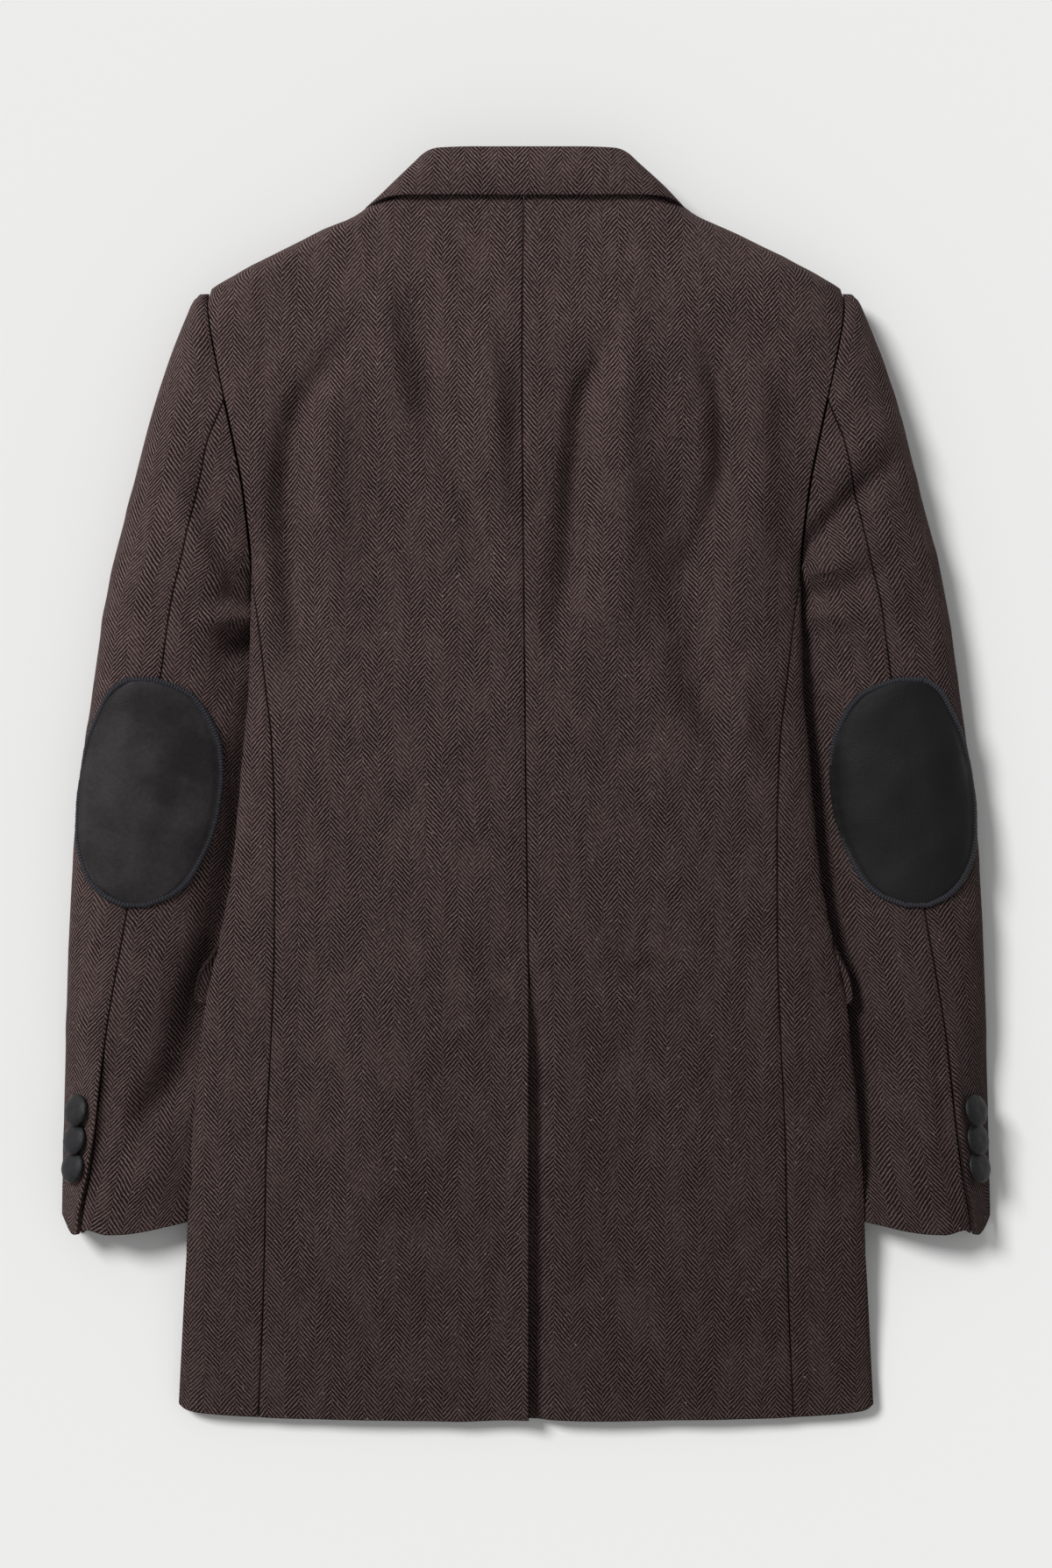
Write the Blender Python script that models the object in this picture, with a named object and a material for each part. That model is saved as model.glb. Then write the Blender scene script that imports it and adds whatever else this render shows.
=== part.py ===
"""A man's herringbone tweed overcoat, laid face down on a flat surface.

The coat lies along Y with its collar at +Y and its back up (+Z). It is hollow: the back
lies over the fronts, and each sleeve is an open tube beside the body. Every cloth piece is
a wall whose outer face is read from two families of cross sections, one for the body and
one for the sleeves. Table sizes are millimetres, and "down" is measured from the top of
the collar towards the hem. Only one half is tabled, since the coat is symmetrical.
"""

import bpy
import numpy as np

MM = 0.001
LENGTH = 904.0
WALL = 2.4
SEAM_GAP = 0.62
LAYER_GAP = 0.35
LAYER = WALL + LAYER_GAP
STEP_DOWN = 1.0
SECTION_STEP = 0.6
SECTION_POINTS = 160
CENTRE_REACH = 60.0
CROWN_DROP = 3.0
LIFT_FADE = 9.0
FLAP_EASE = (16.0, 4.0)
FLAP_BESIDE = (8.0, 26.0)
FLAP_TUCK = 8.0
VENT_EASE = (20.0, 3.0)
FLAT_REACH = 140.0
STAND_END = 4
STAND_GAP = 0.2
TUCK_GAP = 0.7
SHOULDER_GAP = 0.25
NOSE_GAP = 0.7
PATCH_WALL = 1.3
PATCH_GAP = 0.6
FLAP_WALL = 2.0
FLAP_ROOM = 5.2
FLAP_TIP = (9.0, 31.0)
BUTTON_TILT = 12.0
BUTTON_SIDES = 16
NOSE_LENGTH = 6.0
NOSE_HEIGHT = 3.6
FOOT_ROUND = 12.0
HEEL_ROUND = 16.0

# Places along the coat, measured down from the top of the collar.
SHOULDER_POINT = 98.6
UNDERARM = 299.5
CUFF_END = 764.0
SLEEVE_HEAD = 102.5
BACK_SEAM_START = 180.4
VENT_TOP = 594.0
FLAP_TOP = 565.0
FLAP_END = 606.0
FRONT_TOP = 30.0
HEM_LINE = 902.4
HEM_EASE = 830.0
CUFF_EASE = 700.0
LAPEL_FOOT = (192.0, 225.0)
LAPEL_SIDE = (150.0, 190.0)
LAP_SIDE = (60.0, 95.0)
LAP_TOP = (115.0, 140.0)
FLAP_LENGTH = 150.0
VENT_UNDERLAP = 40.0
VENT_LEDGE = 3.0
VENT_SLOPE = 15.0
BACK_COLUMNS = 12
FRONT_COLUMNS = 14
TURN_WEIGHT = 22.0

# Half width of the whole silhouette: the shoulder line, then the outer edge of the sleeve.
OUTLINE = {
    "down": [
        20, 38, 46.5, 59.5, 78.1, 98.6, 106.6, 119, 143.8, 193.4, 243, 305, 391.8, 491, 602.6,
        751.4, 780
    ],
    "half": [
        60, 91, 118, 148.8, 186, 223.2, 235.3, 241.2, 251.1, 267.2, 279.6, 295.4, 308.8, 320.9, 326.4,
        330.5, 330.8
    ],
}
# Half width of the body's side below the underarm.
BODY_EDGE = {
    "down": [298.8, 342.2, 385.6, 417.3, 475.5, 515.8, 565.4, 598.9, 671.5, 760.7, 825.8, 910],
    "half": [194.1, 195.3, 196.5, 199.6, 204.6, 208.9, 218.2, 225.7, 234.4, 240.6, 244.3, 248.8],
}
# Half width of the side seam, where the back meets the front.
SIDE_SEAM = {
    "down": [298, 311.2, 329.8, 378.2, 424.7, 484.8, 565.4, 627.4, 704.9, 788.6, 910],
    "half": [194.1, 193.2, 190.3, 184.4, 179.2, 177.3, 177.6, 179.8, 183.5, 185.4, 190.7],
}
# Half width of the armhole seam.
ARMHOLE = {
    "down": [90, 98.6, 109.7, 125.9, 161.2, 200.3, 239.9, 279.6, 299.5, 310],
    "half": [221, 223.2, 225.1, 223.2, 216.4, 207.7, 199.9, 195.3, 194.1, 194.1],
}
# Half width of the sleeve's back seam, whose last stretch is the edge of the cuff vent.
BACK_SEAM = {
    "down": [180.4, 192.2, 210.2, 239.9, 285.2, 324.9, 374.5, 536.9, 627.4, 711.8, 758.3, 780],
    "half": [212.7, 217.6, 224.4, 230.6, 241.2, 250.5, 257.3, 280.9, 296.4, 306.3, 315, 318],
}
# Half width of the sleeve's inner edge, tucked under the body's side.
SLEEVE_INNER = {
    "down": [299.5, 317.4, 342.2, 367, 422.8, 484.8, 565.4, 639.8, 701.8, 780],
    "half": [194.4, 192.8, 188.9, 186.1, 184.0, 186.5, 199.0, 207.9, 214.6, 221],
}
# The body's section: crown height, height of the side's widest line, how far in from the
# side the back rounds over, and how far in the underside leaves the surface.
BODY_FORM = {
    "down": [20, 70, 98.6, 112, 130, 200, 260, 285, 299.5, 420, 565, 700, 790, 850, 910],
    "crown": [38, 44, 47, 48, 49, 49, 47, 45, 44, 42, 39, 34, 26, 19, 14],
    "side": [14, 15, 16, 30, 41, 45, 40, 33, 28, 29, 28, 25, 17, 10, 7],
    "under": [14, 15, 16, 6, 0, 0, 6, 18, 28, 29, 28, 25, 17, 10, 7],
    "round": [22, 26, 28, 30, 34, 40, 44, 42, 40, 38, 38, 38, 36, 32, 26],
    "tuck": [14, 16, 18, 20, 24, 30, 34, 36, 38, 70, 78, 72, 50, 24, 12],
}
# The sleeve's section: crown, height of the outer edge and of the inner edge, and how far
# in each edge rounds over.
SLEEVE_FORM = {
    "down": [98.6, 106, 120, 150, 220, 285, 299.5, 330, 420, 565, 680, 780],
    "crown": [19, 34, 43, 47, 47, 45, 44, 43, 41, 39, 36, 31],
    "outer": [17, 17, 17, 17, 17, 17, 17, 17, 16, 15, 8, 7],
    "round": [8, 14, 22, 30, 34, 36, 36, 36, 36, 34, 25, 22],
    "bow": [2, 2, 2, 2, 2, 2, 2, 2, 2, 2, 1.35, 1.35],
    "inner_round": [4, 8, 14, 24, 34, 40, 44, 60, 84, 90, 86, 80],
    "inner": [17, 17, 17, 17, 17, 17, 25, 17, 12, 11, 11, 10],
}
# The centre back seam wanders a little off the middle.
CENTRE_SEAM = {
    "down": [20, 112.8, 156.2, 267.8, 565.4, 596.4, 910],
    "offset": [-1.2, -2.5, -2.8, -1.9, 1.5, 2.1, 2.1],
}
# The front's inner edge: the neck, then the roll line down to the front edge.
FRONT_EDGE = {
    "down": [30, 40, 50, 62, 74, 236, 910],
    "half": [81, 89, 94, 86, 69, -38, -38],
}
# The lapel's outer edge, from the notch to the crossing of the fronts.
LAPEL_EDGE = {
    "down": [72, 84, 98, 140, 168],
    "half": [104, 127, 123, 80, 26],
}
# The collar: its roll line, its outer edge, the neck seam, and which way the cloth bulges
# between them (0 up, 90 outwards, 180 down). Rows run from the centre back to the front.
COLLAR = {
    "roll_x": [0, 35, 60, 70, 74, 75, 75, 73, 71],
    "roll_down": [0.6, 0.6, 1.2, 6, 13, 21, 34, 46, 57],
    "roll_z": [42, 42, 40, 34, 26, 14, 0.2, 0, 0],
    "edge_x": [0, 40, 78, 98, 109, 113.5, 116, 115, 110],
    "edge_down": [36.3, 36, 35.6, 35, 38.5, 42.5, 48, 56, 66],
    "edge_z": [45, 45, 44.5, 41, 30, 16, 0, 0, 0],
    "seam_x": [0, 33, 56, 62, 64, 65, 66, 67, 68],
    "seam_down": [26, 26, 26, 25, 25, 26, 34, 45, 55],
    "seam_z": [34, 34, 33, 29, 22, 14, 7, 2.8, 2.8],
    "bulge_turn": [0, 0, 0, 25, 60, 90, 140, 180, 180],
    "bulge": [4, 4, 4, 4, 3, 2, 0, 0, 0],
}
# The hem of the body, and of the sleeve, by distance from the centre.
HEM = {
    "half": [0, 49.6, 102.3, 167.4, 195.3, 223.2, 241.2, 246.8, 252],
    "down": [902.4, 904, 903.3, 902.1, 900.9, 899, 896.5, 892.8, 884],
}
CUFF_HEM = {
    "half": [200, 217, 240.6, 253, 269.7, 285.2, 296.4, 311.9, 318.4, 324, 331],
    "down": [754, 756.4, 761.4, 764.1, 767.6, 769.4, 769.7, 766.5, 769.7, 767, 757],
}

# The elbow patch's inner and outer line.
PATCH = {
    "down": [376.5, 380, 388, 404, 425, 444, 465, 486, 502, 518, 529, 536],
    "inner": [262.9, 251.1, 235.6, 224.4, 216.4, 215.1, 217, 222, 228.8, 238.1, 250.5, 267.8],
    "outer": [279, 286.4, 294.5, 302.6, 310, 314.5, 316.5, 316.8, 314.3, 308.1, 297.6, 284],
}
# A covered button's turned outline: radius and height over its back.
BUTTON_OUTLINE = [(0, 0), (8.5, 0), (11.1, 0.3), (11.5, 1.0), (10.6, 2.3), (8, 3.5), (4.5, 4.2), (0, 4.5)]
# The cuff buttons' places on the sleeve, and how far each middle stands off it.
CUFF_BUTTONS = {"down": [681.4, 701.8, 721.4], "half": [318.5, 320, 321.3], "off": [2.7, 2.3, 2.4]}
# Rows of the body's panels, shared so that the seams between them meet.
BODY_ROWS = [27, 34, 42, 52, 62, 74, 86, 98, 106, 114, 124, 142, 175, 205, 236, 262, 280, 292, 300]
BODY_ROWS += [310, 325, 355, 400, 450, 505, 550, 563, 580, 591, 594, 597, 608, 622, 670, 720, 770]
BODY_ROWS += [820, 860, 888, HEM_LINE]
SLEEVE_ROWS = [SLEEVE_HEAD, 106, 114, 124, 140, 165, 180, 186, 200, 217, 235, 262, 280, 292, 300]
SLEEVE_ROWS += [310, 325, 345, 385, 440, 495, 547, 561, 610, 624, 650, 672, 694, 728, CUFF_END]

TWEED = ("herringbone_tweed", (0.055, 0.042, 0.040), 0.9)
LEATHER = ("elbow_leather", (0.028, 0.026, 0.030), 0.6)
BUTTON = ("covered_button", (0.02, 0.019, 0.022), 0.55)


def smooth(table, column, at, key="down"):
    """A column read at any place, along a smooth curve through the table's rows."""
    x = np.asarray(table[key], float)
    y = np.asarray(table[column], float)
    at = np.clip(at, x[0], x[-1])
    chord = np.diff(y) / np.diff(x)
    slope = np.empty_like(y)
    slope[0] = chord[0]
    slope[-1] = chord[-1]
    before = chord[:-1]
    after = chord[1:]
    same_way = before * after > 0
    mean = 2 * before * after / np.where(same_way, before + after, 1)
    slope[1:-1] = np.where(same_way, mean, 0)
    row = np.clip(np.searchsorted(x, at) - 1, 0, len(x) - 2)
    width = x[row + 1] - x[row]
    t = (at - x[row]) / width
    rise = y[row + 1] - y[row]
    bend = width * (slope[row] * t * (1 - t) ** 2 - slope[row + 1] * t**2 * (1 - t))
    return y[row] + rise * t * t * (3 - 2 * t) + bend


def ease(value, low, high):
    """0 below low, 1 above high, and a soft step between."""
    t = np.clip((value - low) / (high - low), 0, 1)
    return t * t * (3 - 2 * t)


class Section:
    """A cross section of cloth: its outer line from point to point, with its length."""

    def __init__(self, x, z, top_count, split=False, closed=False):
        self.x = x
        self.z = z
        self.split = split
        self.closed = closed
        step = np.hypot(np.diff(x), np.diff(z))
        self.s = np.concatenate([[0], np.cumsum(step)])
        heading = np.unwrap(np.arctan2(np.gradient(z), np.gradient(x)))
        turn = np.concatenate([[0], np.cumsum(np.abs(np.diff(heading)))])
        self.measure = self.s + TURN_WEIGHT * turn
        self.top = slice(0, top_count)
        self.bottom = slice(top_count, None)

    def on_top(self, x):
        return np.interp(x, self.x[self.top], self.s[self.top])

    def on_bottom(self, x):
        return np.interp(-x, -self.x[self.bottom], self.s[self.bottom])

    def point(self, s):
        return np.interp(s, self.s, self.x), np.interp(s, self.s, self.z)

    def spaced(self, first, last, count):
        """Places from first to last, closer together where the cloth turns."""
        ends = np.interp([first, last], self.s, self.measure)
        return np.interp(np.linspace(*ends, count), self.measure, self.s)

    def slope(self, s):
        """Direction of the line at s, read within its own half where the halves part."""
        if self.closed:
            before = self.point(np.mod(s - SECTION_STEP, self.s[-1]))
            after = self.point(np.mod(s + SECTION_STEP, self.s[-1]))
            return np.stack([after[0] - before[0], 0 * s, after[1] - before[1]], axis=-1)
        low = np.zeros_like(s)
        high = np.full_like(s, self.s[-1])
        if self.split:
            under = s >= self.s[self.bottom][0]
            low = np.where(under, self.s[self.bottom][0], low)
            high = np.where(under, high, self.s[self.top][-1])
        before = self.point(np.maximum(s - SECTION_STEP, low))
        after = self.point(np.minimum(s + SECTION_STEP, high))
        return np.stack([after[0] - before[0], 0 * s, after[1] - before[1]], axis=-1)


def body_half(down):
    """Half width of the body: shoulder line, then armhole, then the side."""
    if down <= SHOULDER_POINT:
        return smooth(OUTLINE, "half", down)
    if down <= UNDERARM:
        return smooth(ARMHOLE, "half", down)
    return smooth(BODY_EDGE, "half", down)


def body_underside(x, down):
    """Height of the body's underside: flat, then rising to the side's widest line."""
    half = body_half(down)
    tuck = smooth(BODY_FORM, "tuck", down)
    u = np.clip((np.abs(x) - half + tuck) / tuck, 0, 1)
    rise = 1 - (1 - u**1.3) ** 0.7
    return smooth(BODY_FORM, "under", down) * rise


def lifted(under, lift):
    """An underside raised by a lift that fades where the underside leaves the surface."""
    return under + lift * (1 - np.clip(under / LIFT_FADE, 0, 1))


def body_section(down, lift=None):
    """The body from beyond the centre back, over the side, to beyond the centre front."""
    half = body_half(down)
    turn = np.linspace(0, 1, SECTION_POINTS)
    x = -CENTRE_REACH + (half + CENTRE_REACH) * np.sin(turn * np.pi / 2)
    form = {name: smooth(BODY_FORM, name, down) for name in ("crown", "side", "round")}
    seamed = ease(down, SHOULDER_POINT, 125) * (1 - ease(down, 275, UNDERARM))
    u = np.clip((x - half + form["round"]) / form["round"], 0, 1)
    rise = (1 - u * u) ** (0.5 + 0.5 * seamed)
    slump = CROWN_DROP * (x / half) ** 2
    top = form["side"] + (form["crown"] - form["side"] - slump) * rise
    under = body_underside(x, down)
    if lift is not None:
        under = lifted(under, lift(x, down))
    return Section(
        np.concatenate([x, x[::-1]]),
        np.concatenate([top, under[::-1]]),
        SECTION_POINTS,
        SHOULDER_POINT < down <= UNDERARM,
    )


def sleeve_edges(down):
    """The sleeve's inner line and outer line, and the inner line's two heights."""
    outer = smooth(OUTLINE, "half", down)
    if down <= UNDERARM:
        inner = smooth(ARMHOLE, "half", down)
        return inner, outer, smooth(BODY_FORM, "side", down), smooth(BODY_FORM, "under", down)
    inner = smooth(SLEEVE_INNER, "half", down)
    height = smooth(SLEEVE_FORM, "inner", down)
    return inner, outer, height, height


def flap_rows(down):
    """1 along the pocket flap's rows, fading to 0 above and below them."""
    far, near = FLAP_EASE
    begins = ease(down, FLAP_TOP - far, FLAP_TOP - near)
    return begins * (1 - ease(down, FLAP_END + near, FLAP_END + far))


def flap_room(down):
    """Height kept for the pocket flap between the sleeve and the body."""
    return FLAP_ROOM * flap_rows(down)


def sleeve_section(down):
    """The sleeve from its inner line, over the top and the outer edge, back to it."""
    inner, outer, high, low = sleeve_edges(down)
    turn = np.linspace(-1, 1, SECTION_POINTS)
    x = (inner + outer) / 2 + (outer - inner) / 2 * np.sin(turn * np.pi / 2)
    form = {name: smooth(SLEEVE_FORM, name, down) for name in SLEEVE_FORM if name != "down"}
    near = np.clip(1 - (x - inner) / form["inner_round"], 0, 1)
    far = np.clip(1 - (outer - x) / form["round"], 0, 1)
    top = form["crown"] - (form["crown"] - high) * near**2
    top = top - (top - form["outer"]) * (1 - (1 - far ** form["bow"]) ** (1 / form["bow"]))
    body_side = body_half(down)
    beside = 1 - ease(x - body_side, *FLAP_BESIDE)
    top = top - flap_room(down) * beside * (x > body_side)
    if down > UNDERARM:
        roof = body_underside(x, down) - TUCK_GAP - flap_room(down)
        top = np.where(x < body_side, np.minimum(top, roof), top)
        low = max(top[0] - 2 * NOSE_HEIGHT, 0.0)
    foot = np.clip(1 - (outer - x) / FOOT_ROUND, 0, 1)
    heel = np.clip(1 - (x - inner) / HEEL_ROUND, 0, 1)
    bottom = form["outer"] * (1 - np.sqrt(1 - foot**2)) + low * heel**2
    if down > UNDERARM:
        tip = (top[0] + bottom[0]) / 2
        nose = np.sqrt(1 - np.clip(1 - (x - inner) / NOSE_LENGTH, 0, 1) ** 2)
        top = tip + (top - tip) * nose
        bottom = tip + (bottom - tip) * nose
    return Section(
        np.concatenate([x, x[::-1]]),
        np.concatenate([top, bottom[::-1]]),
        SECTION_POINTS,
        down <= UNDERARM,
        down > UNDERARM,
    )


def cloth(section_at, start, end, downs, across, hem=None, sink=None):
    """Grids of a panel's outer points and outward normals, a row for each place down it."""

    def row(down):
        section = section_at(down)
        first = start(section, down) + SEAM_GAP / 2
        last = end(section, down) - SEAM_GAP / 2
        if callable(across):
            s = across(section, down, first, last)
        else:
            s = section.spaced(first, last, across)
        x, z = section.point(s)
        reach = down + (hem(x, down) if hem else 0)
        return np.stack([x, -reach * np.ones_like(x), z], axis=-1), section.slope(s)

    points = []
    normals = []
    for down in downs:
        here, along = row(down)
        above, _ = row(down - STEP_DOWN)
        below, _ = row(down + STEP_DOWN)
        normal = np.cross(below - above, along)
        normal /= np.linalg.norm(normal, axis=-1, keepdims=True)
        if sink:
            here = here - normal * sink(here[:, 0], down)[:, None]
        points.append(here)
        normals.append(normal)
    return np.array(points), np.array(normals)


def back_start(side):
    """Where a back panel begins: the centre seam, with the right one's underlap at the vent."""

    def start(section, down):
        offset = smooth(CENTRE_SEAM, "offset", down)
        if side == "left":
            return section.on_top(-offset)
        return section.on_top(offset - VENT_UNDERLAP * ease(down, VENT_TOP, VENT_TOP + 3))

    return start


def back_end(section, down):
    if down <= UNDERARM:
        return section.s[section.top][-1]
    return section.on_top(smooth(SIDE_SEAM, "half", down))


def front_start(section, down):
    if down <= UNDERARM:
        return section.s[section.bottom][0] + SHOULDER_GAP
    return section.on_top(smooth(SIDE_SEAM, "half", down))


def front_end(section, down):
    return section.on_bottom(smooth(FRONT_EDGE, "half", down))


def vent_sink(x, down):
    """How far the right back dips under the left one along the vent."""
    beside = x - smooth(CENTRE_SEAM, "offset", down)
    far, near = VENT_EASE
    begins = ease(down, VENT_TOP - far, VENT_TOP - near)
    return LAYER * (1 - ease(beside, VENT_LEDGE, VENT_SLOPE)) * begins


def vent_columns(section, down, first, last):
    """Places across the right back, with a column at each side of the vent's step."""
    offset = smooth(CENTRE_SEAM, "offset", down)
    ledge = max(section.on_top(offset + VENT_LEDGE), first + 1.0)
    slope = section.on_top(offset + VENT_SLOPE)
    return np.concatenate([[first, ledge], section.spaced(slope, last, BACK_COLUMNS - 2)])


def body_hem(x, down):
    edge = smooth(HEM, "down", np.abs(x), key="half")
    return ease(down, HEM_EASE, HEM_LINE) * (edge - HEM_LINE)


def cuff_hem(x, down):
    edge = smooth(CUFF_HEM, "down", x, key="half")
    return ease(down, CUFF_EASE, CUFF_END) * (edge - CUFF_END)


def front_lift(side):
    """Height of a front over what lies between it and the surface, by place."""

    def lift(x, down):
        turned = (1 - ease(down, *LAPEL_FOOT)) * (1 - ease(x, *LAPEL_SIDE))
        flap_start = body_half(down) - FLAP_LENGTH
        far, near = FLAP_EASE
        flap = flap_rows(down) * ease(x, flap_start - far, flap_start - near)
        height = LAYER * np.maximum(turned, flap)
        if side == "right":
            height = height + LAYER * (1 - ease(x, *LAP_SIDE)) * ease(down, *LAP_TOP)
        return height

    return lift


def front_section(side):
    lift = front_lift(side)
    return lambda down: body_section(down, lift)


def sleeve_seam(section, down):
    return section.on_top(smooth(BACK_SEAM, "half", down))


def top_sleeve_start(section, down):
    if down <= BACK_SEAM_START:
        return 0.0
    return sleeve_seam(section, down)


def nose_gap(down):
    """Extra room where the two halves of the sleeve meet at its inner edge."""
    return NOSE_GAP * (1 - 0.4 * ease(down, UNDERARM, UNDERARM + 30))


def section_start(_, down):
    return nose_gap(down)


def section_end(section, down):
    return section.s[-1] - nose_gap(down)


def cloth_mesh(outer, inner):
    """Vertices and faces of a closed wall between two equal grids of points."""
    rows, columns, _ = outer.shape
    count = rows * columns
    index = np.arange(count).reshape(rows, columns)
    quads = np.stack([index[:-1, :-1], index[1:, :-1], index[1:, 1:], index[:-1, 1:]], axis=-1)
    quads = quads.reshape(-1, 4)
    rim = np.concatenate([index[0, :-1], index[:-1, -1], index[-1, :0:-1], index[:0:-1, 0]])
    following = np.roll(rim, -1)
    wall = np.stack([rim, following, following + count, rim + count], axis=-1)
    faces = np.concatenate([quads, quads[:, ::-1] + count, wall])
    points = np.concatenate([outer.reshape(-1, 3), inner.reshape(-1, 3)])
    return points, faces


def material(look):
    name, colour, roughness = look
    made = bpy.data.materials.get(name)
    if made is None:
        made = bpy.data.materials.new(name)
        made.use_nodes = True
        shader = made.node_tree.nodes["Principled BSDF"]
        shader.inputs["Base Color"].default_value = (*colour, 1)
        shader.inputs["Roughness"].default_value = roughness
        shader.inputs["Metallic"].default_value = 0.0
    return made


def add_object(name, points, faces, look, side="right"):
    """A mesh object from points in millimetres down the coat, mirrored for the left side."""
    place = np.array(points, float)
    if side == "left":
        place[:, 0] *= -1
        faces = [list(face)[::-1] for face in faces]
    place[:, 1] += LENGTH / 2
    mesh = bpy.data.meshes.new(name)
    mesh.from_pydata((place * MM).tolist(), [], [list(face) for face in faces])
    mesh.materials.append(material(look))
    mesh.validate()
    mesh.shade_smooth()
    mesh.set_sharp_from_angle(angle=np.radians(50))
    made = bpy.data.objects.new(name, mesh)
    bpy.context.scene.collection.objects.link(made)
    return made


def add_cloth(name, outer, normals, look, side="right", wall=WALL):
    points, faces = cloth_mesh(outer, outer - normals * wall)
    return add_object(name, points, faces, look, side)


def make_backs():
    for side in ("left", "right"):
        sink = vent_sink if side == "right" else None
        columns = vent_columns if side == "right" else BACK_COLUMNS
        outer, normals = cloth(
            body_section, back_start(side), back_end, BODY_ROWS, columns, body_hem, sink
        )
        add_cloth(f"back_{side}", outer, normals, TWEED, side)


def make_fronts():
    downs = [row for row in BODY_ROWS if row > FRONT_TOP]
    for side in ("left", "right"):
        outer, normals = cloth(
            front_section(side), front_start, front_end, downs, FRONT_COLUMNS, body_hem
        )
        add_cloth(f"front_{side}", outer, normals, TWEED, side)


def make_sleeves():
    under_rows = [row for row in SLEEVE_ROWS if row > BACK_SEAM_START]
    for side in ("left", "right"):
        outer, normals = cloth(sleeve_section, top_sleeve_start, section_end, SLEEVE_ROWS, 15, cuff_hem)
        add_cloth(f"top_sleeve_{side}", outer, normals, TWEED, side)
        outer, normals = cloth(sleeve_section, section_start, sleeve_seam, under_rows, 9, cuff_hem)
        add_cloth(f"under_sleeve_{side}", outer, normals, TWEED, side)


def make_lapels():
    rows = [72, 78, 84, 91, 98, 112, 125, 138, 150]

    def end(section, down):
        return section.on_bottom(smooth(FRONT_EDGE, "half", down))

    def start(section, down):
        return section.on_bottom(smooth(LAPEL_EDGE, "half", down))

    def flat_section(down):
        x = np.linspace(-CENTRE_REACH, FLAT_REACH, SECTION_POINTS)
        return Section(np.concatenate([x, x[::-1]]), np.concatenate([0 * x + WALL, 0 * x]), SECTION_POINTS)

    for side in ("left", "right"):
        outer, normals = cloth(flat_section, start, end, rows, 6)
        add_cloth(f"lapel_{side}", outer, normals, TWEED, side)


def collar_half(columns, profile, last_row, rows):
    """Outer points of one half of the collar: a row for each row of its table."""
    count = len(COLLAR["roll_x"])
    fine = np.linspace(0, last_row, rows)
    table = {"row": np.arange(count), **COLLAR}
    read = {name: smooth(table, name, fine, key="row") for name in COLLAR}
    return profile(read, columns)


def fall_profile(read, columns):
    """The fall: an arch from the roll line to the collar's outer edge."""
    roll = np.stack([read["roll_x"], -read["roll_down"], read["roll_z"]], axis=-1)
    edge = np.stack([read["edge_x"], -read["edge_down"], read["edge_z"]], axis=-1)
    turn = np.radians(read["bulge_turn"])
    way = np.stack([np.sin(turn), 0 * turn, np.cos(turn)], axis=-1)
    crest = (roll + edge) / 2 + 2 * read["bulge"][:, None] * way
    t = np.asarray(columns)[None, :, None]
    return roll[:, None] * (1 - t) ** 2 + crest[:, None] * 2 * t * (1 - t) + edge[:, None] * t**2


def stand_profile(read, columns):
    """The stand: from the neck seam up to just inside the roll line."""
    roll = np.stack([read["roll_x"], -read["roll_down"], read["roll_z"]], axis=-1)
    seam = np.stack([read["seam_x"], -read["seam_down"], read["seam_z"]], axis=-1)
    turn = np.radians(read["bulge_turn"])
    inward = np.stack([-np.sin(turn), 0 * turn, -np.cos(turn)], axis=-1)
    top = roll + inward * (LAYER + STAND_GAP) + np.array([0, -STAND_GAP, 0])
    t = np.asarray(columns)[None, :, None]
    return top[:, None] * (1 - t) + seam[:, None] * t


def grid_normals(points):
    """Unit normals of a grid from its neighbours' differences."""
    across = np.gradient(points, axis=1)
    along = np.gradient(points, axis=0)
    normal = np.cross(across, along)
    return normal / np.linalg.norm(normal, axis=-1, keepdims=True)


def make_collar():
    for name, profile, columns, last_row, rows in (
        ("collar", fall_profile, np.linspace(0, 1, 6), 8, 17),
        ("collar_stand", stand_profile, np.linspace(0, 1, 4), STAND_END, 9),
    ):
        half = collar_half(columns, profile, last_row, rows)
        other = half[:0:-1] * np.array([-1, 1, 1])
        outer = np.concatenate([other, half])[::-1]
        add_cloth(name, outer, -grid_normals(outer), TWEED)


def make_patches():
    def start(section, down):
        return section.on_top(smooth(PATCH, "inner", down))

    def end(section, down):
        return section.on_top(smooth(PATCH, "outer", down))

    for side in ("left", "right"):
        base, normals = cloth(sleeve_section, start, end, PATCH["down"], 13)
        outer = base + normals * (PATCH_GAP + PATCH_WALL)
        add_cloth(f"elbow_patch_{side}", outer, normals, LEATHER, side, PATCH_WALL)


def flap_section(side):
    """The front's underside from the flap's free tip back to its seam end."""
    lift = front_lift(side)

    def section(down):
        half = body_half(down)
        x = half - np.linspace(FLAP_TUCK, FLAP_LENGTH, SECTION_POINTS)
        z = lifted(body_underside(x, down), lift(x, down))
        reach = np.linspace(1, 0, 12, endpoint=False)
        tip_x = x[0] + reach * (FLAP_TIP[0] + FLAP_TUCK)
        tip_z = z[0] + reach * (FLAP_TIP[1] - z[0])
        return Section(np.concatenate([tip_x, x]), np.concatenate([tip_z, z]), 2)

    return section


def make_flaps():
    rows = np.linspace(FLAP_TOP, FLAP_END, 6)
    for side in ("left", "right"):
        base, normals = cloth(flap_section(side), section_start, section_end, rows, 12)
        outer = base + normals * LAYER
        add_cloth(f"pocket_flap_{side}", outer, normals, TWEED, side, FLAP_WALL)


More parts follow.
